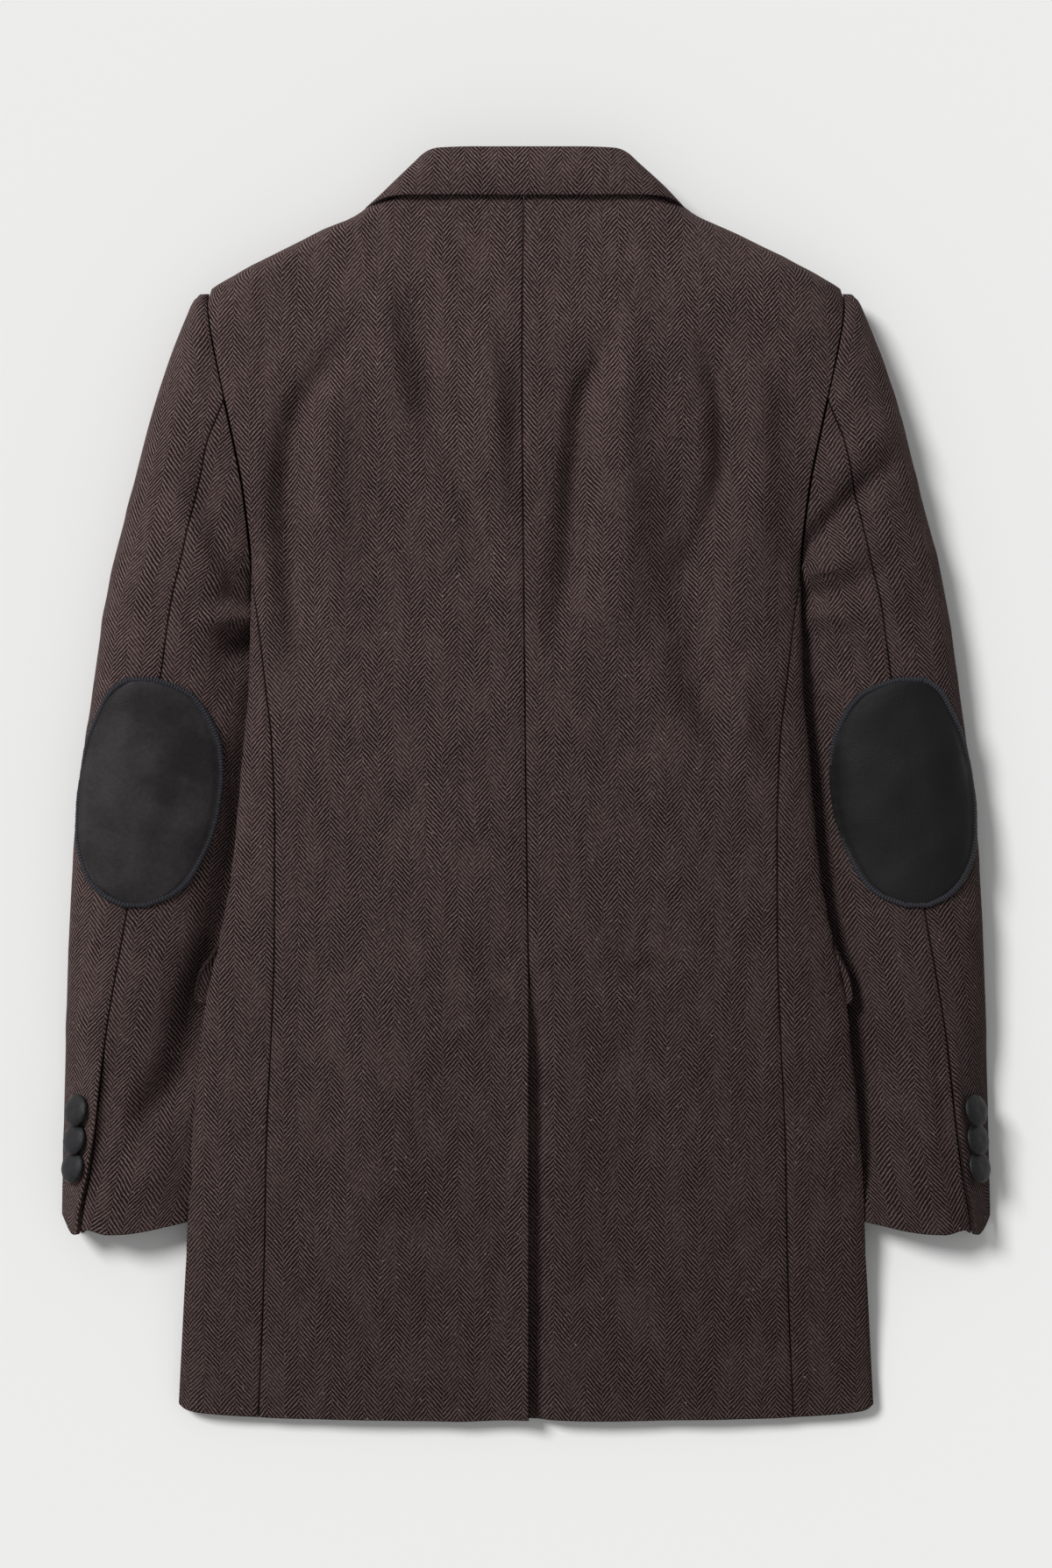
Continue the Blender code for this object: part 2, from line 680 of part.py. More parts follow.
def turned(outline, sides):
    """Points and faces of a closed turned solid, from its axis up round and back to it."""
    angle = np.arange(sides) / sides * 2 * np.pi
    rings = [np.array([[0, 0, outline[0][1]]])]
    for radius, height in outline[1:-1]:
        ring = np.stack([radius * np.cos(angle), radius * np.sin(angle), 0 * angle + height], axis=-1)
        rings.append(ring)
    rings.append(np.array([[0, 0, outline[-1][1]]]))
    points = np.concatenate(rings)
    first = np.arange(sides)
    after = np.roll(first, -1)
    faces = [[0, 1 + b, 1 + a] for a, b in zip(first, after)]
    for ring in range(len(outline) - 3):
        low = 1 + ring * sides
        faces += [[low + a, low + b, low + sides + b, low + sides + a] for a, b in zip(first, after)]
    last = 1 + (len(outline) - 3) * sides
    faces += [[last + a, last + b, len(points) - 1] for a, b in zip(first, after)]
    return points, faces


def make_cuff_buttons():
    """Three covered buttons a cuff, each one's lower rim over the next one's upper rim."""
    body, faces = turned(BUTTON_OUTLINE, BUTTON_SIDES)
    tilt = np.radians(BUTTON_TILT)
    for place, (down, half, off) in enumerate(zip(*CUFF_BUTTONS.values()), start=1):

        def start(section, _, half=half):
            return section.on_top(half)

        def end(section, _, half=half):
            return section.on_top(half) + 1

        base, normal = cloth(sleeve_section, start, end, [down], 2)
        out = normal[0, 0]
        along = np.cross(out, [0, 1, 0])
        along /= np.linalg.norm(along)
        up = np.cross(along, out)
        face = np.cos(tilt) * out + np.sin(tilt) * up * np.sign(up[1])
        second = np.cross(face, along)
        frame = np.stack([along, second, face])
        if np.linalg.det(frame) < 0:
            frame[0] *= -1
        points = base[0, 0] + out * off + body @ frame
        for side in ("left", "right"):
            add_object(f"cuff_button_{side}_{place}", points, faces, BUTTON, side)


def main():
    for existing in list(bpy.data.objects):
        bpy.data.objects.remove(existing, do_unlink=True)
    make_backs()
    make_fronts()
    make_sleeves()
    make_lapels()
    make_collar()
    make_patches()
    make_flaps()
    make_cuff_buttons()


main()
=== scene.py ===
"""The looks of a man's herringbone tweed overcoat, laid face down on a pale surface.

The coat lies along Y with its collar at +Y and its back up. Table sizes are millimetres, and
"down" is measured from the top of the collar towards the hem. X runs outwards to the right.
"""

import bpy
import numpy as np
from bpy.props import FloatProperty, FloatVectorProperty
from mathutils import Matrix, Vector


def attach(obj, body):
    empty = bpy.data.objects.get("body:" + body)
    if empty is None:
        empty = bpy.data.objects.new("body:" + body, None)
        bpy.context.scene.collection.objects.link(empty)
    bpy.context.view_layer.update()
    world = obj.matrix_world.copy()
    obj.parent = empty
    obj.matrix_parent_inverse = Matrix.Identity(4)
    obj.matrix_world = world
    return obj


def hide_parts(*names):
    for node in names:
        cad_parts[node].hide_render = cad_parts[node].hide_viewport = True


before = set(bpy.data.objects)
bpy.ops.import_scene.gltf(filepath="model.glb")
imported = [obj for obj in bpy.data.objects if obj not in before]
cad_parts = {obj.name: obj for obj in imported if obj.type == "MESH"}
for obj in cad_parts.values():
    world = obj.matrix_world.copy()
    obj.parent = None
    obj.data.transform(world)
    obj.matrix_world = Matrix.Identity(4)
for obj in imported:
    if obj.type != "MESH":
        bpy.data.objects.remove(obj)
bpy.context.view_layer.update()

bl_info = {
    "name": "Tweed overcoat",
    "version": (1, 0, 0),
    "blender": (4, 5, 0),
    "location": "3D View > Sidebar > Overcoat",
    "description": "Builds a herringbone tweed overcoat laid face down, with its patches and buttons",
    "category": "Object",
}

MM = 0.001
SIDES = ("left", "right")
LENGTH = 904.0

# Walls of the pieces, the height one layer lifts the next, and the gaps kept between pieces.
WALL = 2.4
PATCH_WALL = 1.3
FLAP_WALL = 2.0
LAYER = 2.75
SEAM_GAP = 0.36
SHOULDER_GAP = 0.25
PATCH_GAP = 0.6
STAND_GAP = 0.2
TUCK_GAP = 0.7
NOSE_GAP = 0.7
NOSE_CLOSES = 0.4

# How finely sections are read, how far they run beyond the centre, and the radius of a
# folded edge with the places of its rows as shares of that radius.
STEP_DOWN = 1.0
SECTION_STEP = 0.6
SECTION_POINTS = 320
CENTRE_REACH = 60.0
FLAT_REACH = 140.0
EDGE_ROUND = 1.3
EDGE_ROWS = np.array([0.0, 0.12, 0.35, 0.65])
EDGE_DROP = 0.9

# Places along the coat.
BACK_NECK = 27.0
FRONT_TOP = 34.0
LAPEL_TOP = 72.0
SHOULDER_POINT = 98.6
SLEEVE_HEAD = 102.5
LAPEL_END = 150.0
BACK_SEAM_START = 180.4
UNDERARM = 299.5
FLAP_TOP = 565.0
VENT_TOP = 594.0
FLAP_END = 606.0
CUFF_VENT = 627.0
CUFF_EASE = 700.0
CUFF_END = 764.0
HEM_EASE = 830.0
HEM_LINE = 902.4

# The forms of the sections: the crown's slump to the side, the rows where the armhole stands
# upright, the underside's rise, and the rounds at the sleeve's outer and inner edge.
CROWN_DROP = 3.0
ARMHOLE_ROWS = (125.0, 275.0)
UNDER_RISE = (1.3, 0.7)
LIFT_FADE = 9.0
FOOT_ROUND = 12.0
HEEL_ROUND = 16.0
NOSE_LENGTH = 6.0
NOSE_HEIGHT = 3.6

# The fronts: where the lapels and the crossing lie under them, down and across.
LAPEL_FOOT = (192.0, 225.0)
LAPEL_SIDE = (150.0, 190.0)
LAP_SIDE = (60.0, 95.0)
LAP_TOP = (115.0, 140.0)

# The pocket flaps: room kept for them, its fade down and across, the share of it that shows
# beside the body, and the tip's height, reach past the side, taper and round corner.
FLAP_LENGTH = 150.0
FLAP_ROOM = 5.2
FLAP_EASE = (34.0, 1.0)
FLAP_BESIDE = (8.0, 26.0)
FLAP_RECESS = 0.25
FLAP_TUCK = 8.0
FLAP_TIP_HEIGHT = 31.0
FLAP_REACH = {"left": 8.5, "right": 5.5}
FLAP_TAPER = 22.0
FLAP_CORNER = 7.0
FLAP_CORNER_SHARE = 0.9

# The vent: the right back's ledge and slope under the left one, the rolled free edge's height,
# width and rows, and the hollow beside it: place, width, depth and rows.
VENT_EASE = (20.0, 3.0)
VENT_UNDERLAP = 40.0
VENT_LEDGE = 3.0
VENT_SLOPE = 15.0
VENT_LIFT = 4.8
VENT_ROLL = 11.0
VENT_LIFT_ROWS = (4.0, 60.0)
VENT_SHADOW = (6.5, 9.0, 4.6)
VENT_SHADOW_ROWS = (-6.0, 30.0)

# The cuff's vent: the top sleeve's rolled edge, and the hollow under it, with their rows.
CUFF_LIFT = 3.6
CUFF_HOLLOW = 2.8
CUFF_ROLL = 7.0
CUFF_LIFT_ROWS = (0.0, 40.0)
CUFF_HOLLOW_ROWS = (-20.0, 50.0)

# Seams: depth of a valley, its share at the side seam, its half width at the centre, side and
# sleeve, the rows over which it starts, and the centre seam's pucker.
SEAM_DIP = 0.65
SIDE_DIP_SHARE = 0.7
CENTRE_VALLEY = 2.6
SIDE_VALLEY = 2.2
SLEEVE_VALLEY = 2.4
SIDE_VALLEY_ROWS = 20.0
SLEEVE_VALLEY_ROWS = 14.0
SEAM_CLOSED_ROWS = (-10.0, 12.0)
PUCKER = {"height": 0.16, "turn": 0.55, "drift": 0.6, "drift_turn": 0.13, "width": 7.0}

# Relief: the backs' share of the fold depth, the rows over which relief begins, how it ends
# round the side, and how low a trough goes: a share of the cloth's height above a limit.
BACK_DEPTH = 1.3
BODY_RELIEF_ROWS = 60.0
SLEEVE_RELIEF_ROWS = 40.0
SIDE_FADE = (-6.0, 2.0)
LOWEST_TOP = 4.0
LOWEST_SHARE = 0.9
FOLD_STEPS = 48

# The weave on the sleeve keeps to the back seam. Above a place it keeps to a lean of its own,
# and its lean down the sleeve is read at a few places. The light yarn fades out at a rim.
SEAM_READ_FROM = 210.0
HEAD_LEAN = 0.12
LEAN_OF_WEAVE = ((95, 190, 260, 420, 780), (0.12, 0.16, 0.22, 0.16, 0.15))
RIM_WIDTH = 0.8

# The elbow patches: crown and how far in it rises, the groove inside the rim (place, width,
# depth), and the overlocked thread's tube and its turns.
PATCH_CROWN = 1.1
PATCH_RISE = 30.0
PATCH_GROOVE = (3.6, 1.3, 0.7)
PATCH_MIDDLE_DOWN = 458.0
STITCH_POINTS = 1500
STITCH_SIDES = 10
STITCH_INSET = 0.4
STITCH_LIFT = 1.7
STITCH_WIDTH = 1.9
STITCH_HEIGHT = 1.15
STITCH_PITCH = 2.1
STITCH_RIDGE = 0.22
STITCH_UNEVEN = (0.05, 0.83)

# The cuff buttons: turned about the sleeve, moved in and raised, and the cover's gathers
# (height, count, start) and middle dimple (depth, half width).
BUTTON_TILT = 12.0
BUTTON_LEAN = 2.0
BUTTON_SHIFT = 3.4
BUTTON_RISE = 1.0
BUTTON_SIDES = 64
BUTTON_RADIUS = 11.5
BUTTON_COVER_FROM = 1.2
BUTTON_GATHER = (0.12, 9, 0.7)
BUTTON_DIMPLE = (0.35, 2.6)

# The stage: the light's direction and spread, the floor and the camera.
KEY_FROM = (-0.66, 0.58, 0.88)
KEY_SPREAD = 20.0
FLOOR_REACH = 6.0
FLOOR_HEIGHT = -0.0004
CAMERA_MIDDLE = 0.00155
CAMERA_LENS = 100.0
CAMERA_SENSOR = 36.0

# Half width of the whole silhouette: the shoulder line, then the outer edge of the sleeve.
OUTLINE = {
    "down": [
        20, 30, 36, 42, 46.5, 59.5, 78.1, 98.6, 106.6, 119,
        143.8, 193.4, 243, 305, 391.8, 491, 602.6, 751.4, 780,
    ],
    "half": [
        60, 93, 106, 114.5, 120.5, 148.8, 186, 223.2, 235.3, 241.2,
        251.1, 267.2, 279.6, 295.4, 308.8, 320.9, 326.4, 330.5, 330.8,
    ],
}
# Half width of the body's side below the underarm.
BODY_EDGE = {
    "down": [298.8, 342.2, 385.6, 417.3, 475.5, 515.8, 565.4, 598.9, 671.5, 760.7, 825.8, 910],
    "half": [194.1, 195.3, 196.5, 199.6, 204.6, 208.9, 218.2, 225.7, 234.4, 240.6, 244.3, 248.8],
}
# Half width of the side seam, where the back meets the front.
SIDE_SEAM = {
    "down": [298, 311.2, 329.8, 378.2, 424.7, 484.8, 565.4, 627.4, 704.9, 788.6, 910],
    "half": [194.1, 193.2, 190.3, 184.4, 179.2, 177.3, 177.6, 179.8, 183.5, 185.4, 190.7],
}
# Half width of the armhole seam.
ARMHOLE = {
    "down": [90, 98.6, 109.7, 125.9, 161.2, 200.3, 239.9, 279.6, 299.5, 310],
    "half": [221, 223.2, 225.1, 223.2, 216.4, 207.7, 199.9, 195.3, 194.1, 194.1],
}
# Half width of the sleeve's back seam, whose last stretch is the edge of the cuff vent.
BACK_SEAM = {
    "down": [180.4, 192.2, 210.2, 239.9, 285.2, 324.9, 374.5, 536.9, 627.4, 711.8, 758.3, 780],
    "half": [212.7, 217.6, 224.4, 230.6, 241.2, 250.5, 257.3, 280.9, 296.4, 306.3, 315, 318],
}
# Half width of the sleeve's inner edge, tucked under the body's side.
SLEEVE_INNER = {
    "down": [299.5, 317.4, 342.2, 367, 422.8, 484.8, 565.4, 639.8, 701.8, 780],
    "half": [194.4, 192.8, 188.9, 186.1, 184.0, 186.5, 199.0, 207.9, 214.6, 221],
}
# The body's section: crown height, height of the side's widest line above and below the
# armhole, how far in the back rounds over, and how far in the underside leaves the surface.
BODY_FORM = {
    "down": [20, 70, 98.6, 112, 130, 200, 260, 285, 299.5, 420, 565, 700, 790, 850, 910],
    "crown": [38, 44, 47, 48, 49, 49, 47, 45, 44, 42, 39, 34, 26, 19, 14],
    "side": [14, 15, 16, 30, 41, 45, 40, 33, 28, 29, 28, 25, 17, 10, 7],
    "under": [14, 15, 16, 6, 0, 0, 6, 18, 28, 29, 28, 25, 17, 10, 7],
    "round": [22, 26, 28, 30, 34, 40, 44, 42, 40, 38, 38, 38, 36, 32, 26],
    "tuck": [14, 16, 18, 20, 24, 30, 34, 36, 38, 70, 78, 72, 50, 24, 12],
}
# The sleeve's section: crown, height of the outer edge and of the inner edge, how far in each
# edge rounds over, and how square the outer round is.
SLEEVE_FORM = {
    "down": [98.6, 106, 120, 150, 220, 285, 299.5, 330, 420, 565, 680, 780],
    "crown": [19, 34, 43, 47, 47, 45, 44, 43, 41, 39, 36, 31],
    "outer": [17, 17, 17, 17, 17, 17, 17, 17, 16, 15, 8, 7],
    "round": [8, 14, 22, 30, 34, 36, 36, 36, 36, 34, 25, 22],
    "bow": [2, 2, 2, 2, 2, 2, 2, 2, 2, 2, 1.35, 1.35],
    "inner_round": [4, 8, 14, 24, 34, 40, 44, 60, 84, 90, 86, 80],
    "inner": [17, 17, 17, 17, 17, 17, 25, 17, 12, 11, 11, 10],
}
# The centre back seam wanders a little off the middle.
CENTRE_SEAM = {
    "down": [20, 112.8, 156.2, 267.8, 565.4, 596.4, 910],
    "offset": [-1.2, -2.5, -2.8, -1.9, 1.5, 2.1, 2.1],
}
# The front's inner edge: the neck, then the roll line down to the front edge.
FRONT_EDGE = {
    "down": [30, 40, 50, 62, 74, 236, 910],
    "half": [81, 89, 94, 86, 69, -38, -38],
}
# The lapel's outer edge, from the notch to the crossing of the fronts.
LAPEL_EDGE = {
    "down": [72, 84, 98, 140, 168],
    "half": [104, 127, 123, 80, 26],
}
# The collar: its roll line, its outer edge, the neck seam, and which way the cloth bulges
# between them (0 up, 90 outwards, 180 down). Rows run from the centre back to the front.
COLLAR = {
    "roll_x": [0, 35, 62, 74, 78, 79, 79, 77, 75],
    "roll_down": [0.6, 0.6, 1.2, 6, 13, 21, 34, 46, 57],
    "roll_z": [42, 42, 40, 34, 26, 14, 0.2, 0, 0],
    "edge_x": [0, 40, 78, 97, 109, 115, 117, 116, 110],
    "edge_down": [36.3, 36, 35.8, 36.6, 40.0, 42.8, 46, 54, 66],
    "edge_z": [45, 45, 44.5, 41, 30, 16, 0, 0, 0],
    "seam_x": [0, 33, 56, 62, 64, 65, 66, 67, 68],
    "seam_down": [26, 26, 26, 25, 25, 26, 34, 45, 55],
    "seam_z": [34, 34, 33, 29, 22, 14, 7, 2.8, 2.8],
    "bulge_turn": [0, 0, 0, 25, 60, 90, 140, 180, 180],
    "bulge": [4, 4, 4, 4, 3, 2, 0, 0, 0],
}
# The last row and the count of rows of the fall and of the stand, and the places across them.
COLLAR_SPAN = {"collar": (8, 140), "collar_stand": (4, 60)}
COLLAR_EDGE = np.array([0.0, 0.01, 0.03, 0.06])
COLLAR_ACROSS = np.concatenate([COLLAR_EDGE, np.linspace(0.1, 0.9, 22), 1 - COLLAR_EDGE[::-1]])
# The hem of the body and of the sleeve, by distance from the centre.
HEM = {
    "half": [0, 49.6, 102.3, 167.4, 195.3, 223.2, 241.2, 246.8, 252],
    "down": [902.4, 904, 903.3, 902.1, 900.9, 899, 896.5, 892.8, 884],
}
CUFF_HEM = {
    "half": [200, 217, 240.6, 253, 269.7, 285.2, 296.4, 311.9, 318.4, 324, 331],
    "down": [754, 756.4, 761.4, 764.1, 767.6, 769.4, 769.7, 766.5, 769.7, 767, 757],
}
# The elbow patch's inner and outer line.
PATCH = {
    "down": [376.5, 380, 388, 404, 425, 444, 465, 486, 502, 518, 529, 536],
    "inner": [262.9, 251.1, 235.6, 224.4, 216.4, 215.1, 217, 222, 228.8, 238.1, 250.5, 267.8],
    "outer": [279, 286.4, 294.5, 302.6, 310, 314.5, 316.5, 316.8, 314.3, 308.1, 297.6, 284],
}
# A covered button's turned outline, from the middle of its back round to the middle of its face.
BUTTON = {
    "radius": np.array([0.02, 8.5, 11.1, 11.5, 10.6, 8.0, 4.5, 0.02]),
    "height": np.array([0.0, 0.0, 0.3, 1.0, 2.3, 3.5, 4.2, 4.5]),
}
# The cuff buttons' places on the sleeve, and how far each middle stands off it.
CUFF_BUTTONS = {"down": [681.4, 701.8, 721.4], "half": [318.5, 320, 321.3], "off": [2.7, 2.3, 2.4]}
# Folds that the cloth has taken in lying. Each has four rows: X and down of its line, its height
# out of the cloth (below 0 for a trough) and its half width.
FOLD_ROWS = ("x", "down", "height", "width")
BACK_FOLDS = {
    "left_long_trough": (
        [-119, -134, -161, -168, -165, -160, -158], [122, 150, 193, 243, 305, 350, 402],
        [0, -1.8, -4.6, -6.4, -6.0, -4.2, 0], [8, 9, 11, 12, 13, 15, 17],
    ),
    "left_long_ridge": (
        [-120, -137, -141, -137, -132], [140, 190, 240, 300, 350], [0, 2.4, 3.2, 2.2, 0],
        [12, 15, 17, 18, 20],
    ),
    "left_inner_trough": (
        [-84, -77, -68, -53, -37, -29], [98, 130, 175, 220, 262, 310], [0, -1.8, -2.6, -1.6, -1.8, 0],
        [11, 13, 14, 12, 12, 13],
    ),
    "left_shoulder_ridge": (
        [-103, -99, -92, -80], [96, 125, 170, 215], [0, 2.0, 2.2, 0], [12, 13, 12, 12],
    ),
    "left_middle_ridge": (
        [-30, -25, -22, -17], [118, 165, 215, 262], [0, 2.8, 2.8, 0], [9, 10, 10, 9],
    ),
    "centre_trough": (
        [-6, -6, -7], [135, 190, 250], [0, -1.4, 0], [6, 6, 6],
    ),
    "right_inner_trough": (
        [60, 52, 40, 34, 31, 24, 17], [128, 152, 181, 243, 293, 332, 368],
        [0, -1.8, -4.2, -4.8, -4.0, -2.2, 0], [8, 8, 9, 10, 11, 11, 12],
    ),
    "right_inner_ridge": (
        [76, 70, 68, 70, 66], [112, 165, 231, 290, 350], [0, 3.0, 3.4, 3.0, 0], [11, 13, 14, 14, 14],
    ),
    "right_outer_trough": (
        [120, 130, 139, 140, 131, 118, 108], [112, 150, 186, 222, 262, 292, 318],
        [0, -2.6, -4.2, -4.4, -3.6, -2.2, 0], [8, 9, 10, 10, 11, 12, 12],
    ),
    "right_broad_trough": (
        [104, 108, 114, 122, 134, 146], [205, 262, 330, 379, 415, 445], [0, -3.0, -4.0, -3.6, -2.8, 0],
        [16, 18, 18, 15, 12, 10],
    ),
    "right_outer_ridge": (
        [158, 163, 164, 160], [138, 190, 250, 320], [0, 3.0, 2.6, 0], [12, 13, 14, 14],
    ),
    "right_low_ridge": (
        [150, 154, 160], [372, 412, 452], [0, 2.6, 0], [10, 11, 12],
    ),
    "vent_pull": (
        [-44, -24, -6], [560, 582, 594], [0, -1.2, 0], [9, 8, 6],
    ),
    "vent_crown": (
        [-58, -34, -14], [590, 600, 606], [0, 1.8, 0], [12, 10, 8],
    ),
    "right_hip_dent": (
        [64, 84, 106], [584, 582, 588], [0, -1.6, 0], [7, 8, 8],
    ),
    "left_skirt_swell": (
        [-95, -104, -112], [560, 680, 820], [0, 2.0, 0], [34, 38, 34],
    ),
    "right_skirt_dip": (
        [62, 70, 78], [600, 720, 850], [0, -1.8, 0], [26, 30, 26],
    ),
    "left_waist_dip": (
        [-60, -90, -126], [455, 470, 462], [0, -1.4, 0], [20, 24, 20],
    ),
}
SLEEVE_FOLDS = {
    "left_head_ridge": (
        [-258, -240, -222, -210], [226, 268, 302, 318], [0, 2.8, 3.2, 0], [9, 10, 9, 8],
    ),
    "left_head_trough": (
        [-236, -222, -208], [212, 258, 292], [0, -2.2, 0], [8, 9, 7],
    ),
    "left_elbow_ridge": (
        [-236, -218, -200, -188], [330, 333, 334, 334], [0, 3.2, 4.0, 3.0], [9, 8, 8, 8],
    ),
    "left_elbow_hollow": (
        [-226, -214, -203, -190], [368, 360, 353, 350], [0, -2.6, -7.6, -8.0], [11, 12, 12, 12],
    ),
    "left_forearm_hollow": (
        [-222, -228, -237, -247, -264, -282], [575, 600, 625, 656, 680, 690],
        [-3.0, -5.5, -7.5, -7.5, -5.0, 0], [14, 15, 15, 14, 12, 9],
    ),
    "left_cuff_swell": (
        [-240, -262, -286], [728, 724, 714], [2.0, 3.2, 0], [20, 20, 14],
    ),
    "left_inner_hollow": (
        [-196, -203, -216, -227, -234], [385, 475, 556, 600, 668], [0, -4.6, -6.4, -5.2, 0],
        [10, 13, 16, 16, 12],
    ),
    "right_inner_hollow": (
        [194, 199, 205, 214, 224, 232, 239, 243], [282, 390, 470, 540, 590, 650, 700, 748],
        [0, -4.4, -6.4, -7.2, -7.2, -7.2, -6.4, 0], [9, 13, 15, 17, 17, 17, 15, 12],
    ),
    "right_head_crease": (
        [268, 254, 238, 222, 206, 197], [210, 228, 242, 257, 276, 286], [0, -2.0, -3.4, -4.6, -5.0, -3.0],
        [8, 8, 8, 8, 9, 9],
    ),
    "right_head_swell": (
        [262, 246, 228, 212], [186, 206, 226, 246], [0, 2.6, 2.6, 0], [11, 12, 11, 9],
    ),
    "right_second_ridge": (
        [262, 240, 222, 204], [270, 284, 293, 300], [0, 1.5, 2.2, 2.0], [9, 9, 9, 8],
    ),
    "right_second_crease": (
        [262, 246, 228, 208], [294, 304, 312, 318], [0, -1.2, -2.2, -2.4], [8, 8, 8, 8],
    ),
    "right_elbow_ridge": (
        [240, 226, 210, 196], [336, 332, 330, 330], [0, 2.4, 2.8, 2.0], [8, 8, 8, 8],
    ),
    "right_upper_dent": (
        [268, 276, 282], [300, 326, 352], [0, -1.8, 0], [9, 10, 9],
    ),
    "right_forearm_dip": (
        [236, 252, 262], [600, 640, 690], [0, -2.4, 0], [14, 14, 12],
    ),
}
# Slow unevenness all over the cloth: waves a metre across and down, where each starts in its
# cycle, and its height in millimetres.
SWELLS = {
    "across": [11.0, -17.0, 23.0, -8.0, 31.0, -26.0],
    "down": [14.0, 9.0, -19.0, 24.0, 12.0, -29.0],
    "start": [0.0, 1.7, 3.1, 4.4, 5.2, 0.9],
    "height": [0.34, 0.30, 0.20, 0.24, 0.12, 0.12],
}


def smooth(table, column, at, key="down"):
    """A column read at any place, along a smooth curve through the table's rows."""
    x = np.asarray(table[key], float)
    y = np.asarray(table[column], float)
    at = np.clip(at, x[0], x[-1])
    chord = np.diff(y) / np.diff(x)
    before, after = chord[:-1], chord[1:]
    same_way = before * after > 0
    mean = 2 * before * after / np.where(same_way, before + after, 1)
    slope = np.concatenate([chord[:1], np.where(same_way, mean, 0), chord[-1:]])
    row = np.clip(np.searchsorted(x, at) - 1, 0, len(x) - 2)
    width = x[row + 1] - x[row]
    t = (at - x[row]) / width
    rise = y[row + 1] - y[row]
    bend = width * (slope[row] * t * (1 - t) ** 2 - slope[row + 1] * t**2 * (1 - t))
    return y[row] + rise * t * t * (3 - 2 * t) + bend


def ease(value, low, high):
    """0 below low, 1 above high, and a soft step between."""
    t = np.clip((value - low) / (high - low), 0, 1)
    return t * t * (3 - 2 * t)


def bell(distance, width):
    """1 at no distance and fading softly: e to the minus square of distance over width."""
    return np.exp(-((distance / width) ** 2))


def unit(vectors):
    """Vectors brought to length 1."""
    return vectors / np.linalg.norm(vectors, axis=-1, keepdims=True)


def run_length(steps):
    """Length run up to each point, from the lengths of the steps between them."""
    return np.concatenate([[0], np.cumsum(steps)])


class Section:
    """A cross section of cloth: its outer line from point to point, with its length.

    Split halves meet at an edge that is not smooth, and a closed line goes round smoothly.
    """

    def __init__(self, x, z, top_count, split=False, closed=False):
        self.x, self.z = x, z
        self.split, self.closed = split, closed
        self.s = run_length(np.hypot(np.diff(x), np.diff(z)))
        self.top = slice(0, top_count)
        self.bottom = slice(top_count, None)

    def on_top(self, x):
        return np.interp(x, self.x[self.top], self.s[self.top])

    def on_bottom(self, x):
        return np.interp(-x, -self.x[self.bottom], self.s[self.bottom])

    def point(self, s):
        return np.interp(s, self.s, self.x), np.interp(s, self.s, self.z)

    def slope(self, s):
        """Direction of the line at s, read within its own half where the halves part."""
        before, after = s - SECTION_STEP, s + SECTION_STEP
        if self.closed:
            before, after = np.mod(before, self.s[-1]), np.mod(after, self.s[-1])
        else:
            low, high = 0.0, self.s[-1]
            if self.split:
                under = s >= self.s[self.bottom][0]
                low = np.where(under, self.s[self.bottom][0], low)
                high = np.where(under, high, self.s[self.top][-1])
            before, after = np.maximum(before, low), np.minimum(after, high)
        (x0, z0), (x1, z1) = self.point(before), self.point(after)
        return np.stack([x1 - x0, 0 * s, z1 - z0], axis=-1)


def loop_section(x, top, bottom, split=False, closed=False):
    """A section that runs out over the top line and back along the bottom line."""
    return Section(
        np.concatenate([x, x[::-1]]), np.concatenate([top, bottom[::-1]]), len(x), split, closed
    )


def on_line(table, column="half", read=Section.on_top):
    """A function for the place on a section where it meets a table's line."""
    return lambda section, down: read(section, smooth(table, column, down))


def body_half(down):
    """Half width of the body: shoulder line, then armhole, then the side."""
    if down <= SHOULDER_POINT:
        return smooth(OUTLINE, "half", down)
    return smooth(ARMHOLE if down <= UNDERARM else BODY_EDGE, "half", down)


def body_underside(x, down):
    """Height of the body's underside: flat, then rising to the side's widest line."""
    half = body_half(down)
    tuck = smooth(BODY_FORM, "tuck", down)
    u = np.clip((np.abs(x) - half + tuck) / tuck, 0, 1)
    rise = 1 - (1 - u ** UNDER_RISE[0]) ** UNDER_RISE[1]
    return smooth(BODY_FORM, "under", down) * rise


def lifted(under, lift):
    """An underside raised by a lift that fades where the underside leaves the surface."""
    return under + lift * (1 - np.clip(under / LIFT_FADE, 0, 1))


def body_section(down, lift=None):
    """The body from beyond the centre back, over the side, to beyond the centre front."""
    half = body_half(down)
    turn = np.linspace(0, 1, SECTION_POINTS)
    x = -CENTRE_REACH + (half + CENTRE_REACH) * np.sin(turn * np.pi / 2)
    form = {name: smooth(BODY_FORM, name, down) for name in ("crown", "side", "round")}
    begins, ends = ARMHOLE_ROWS
    seamed = ease(down, SHOULDER_POINT, begins) * (1 - ease(down, ends, UNDERARM))
    u = np.clip((x - half + form["round"]) / form["round"], 0, 1)
    rise = (1 - u * u) ** (0.5 + 0.5 * seamed)
    slump = CROWN_DROP * (x / half) ** 2
    top = form["side"] + (form["crown"] - form["side"] - slump) * rise
    under = body_underside(x, down)
    if lift is not None:
        under = lifted(under, lift(x, down))
    return loop_section(x, top, under, SHOULDER_POINT < down <= UNDERARM)


def sleeve_edges(down):
    """The sleeve's inner line and outer line, and the inner line's two heights."""
    outer = smooth(OUTLINE, "half", down)
    if down <= UNDERARM:
        inner = smooth(ARMHOLE, "half", down)
        return inner, outer, smooth(BODY_FORM, "side", down), smooth(BODY_FORM, "under", down)
    height = smooth(SLEEVE_FORM, "inner", down)
    return smooth(SLEEVE_INNER, "half", down), outer, height, height


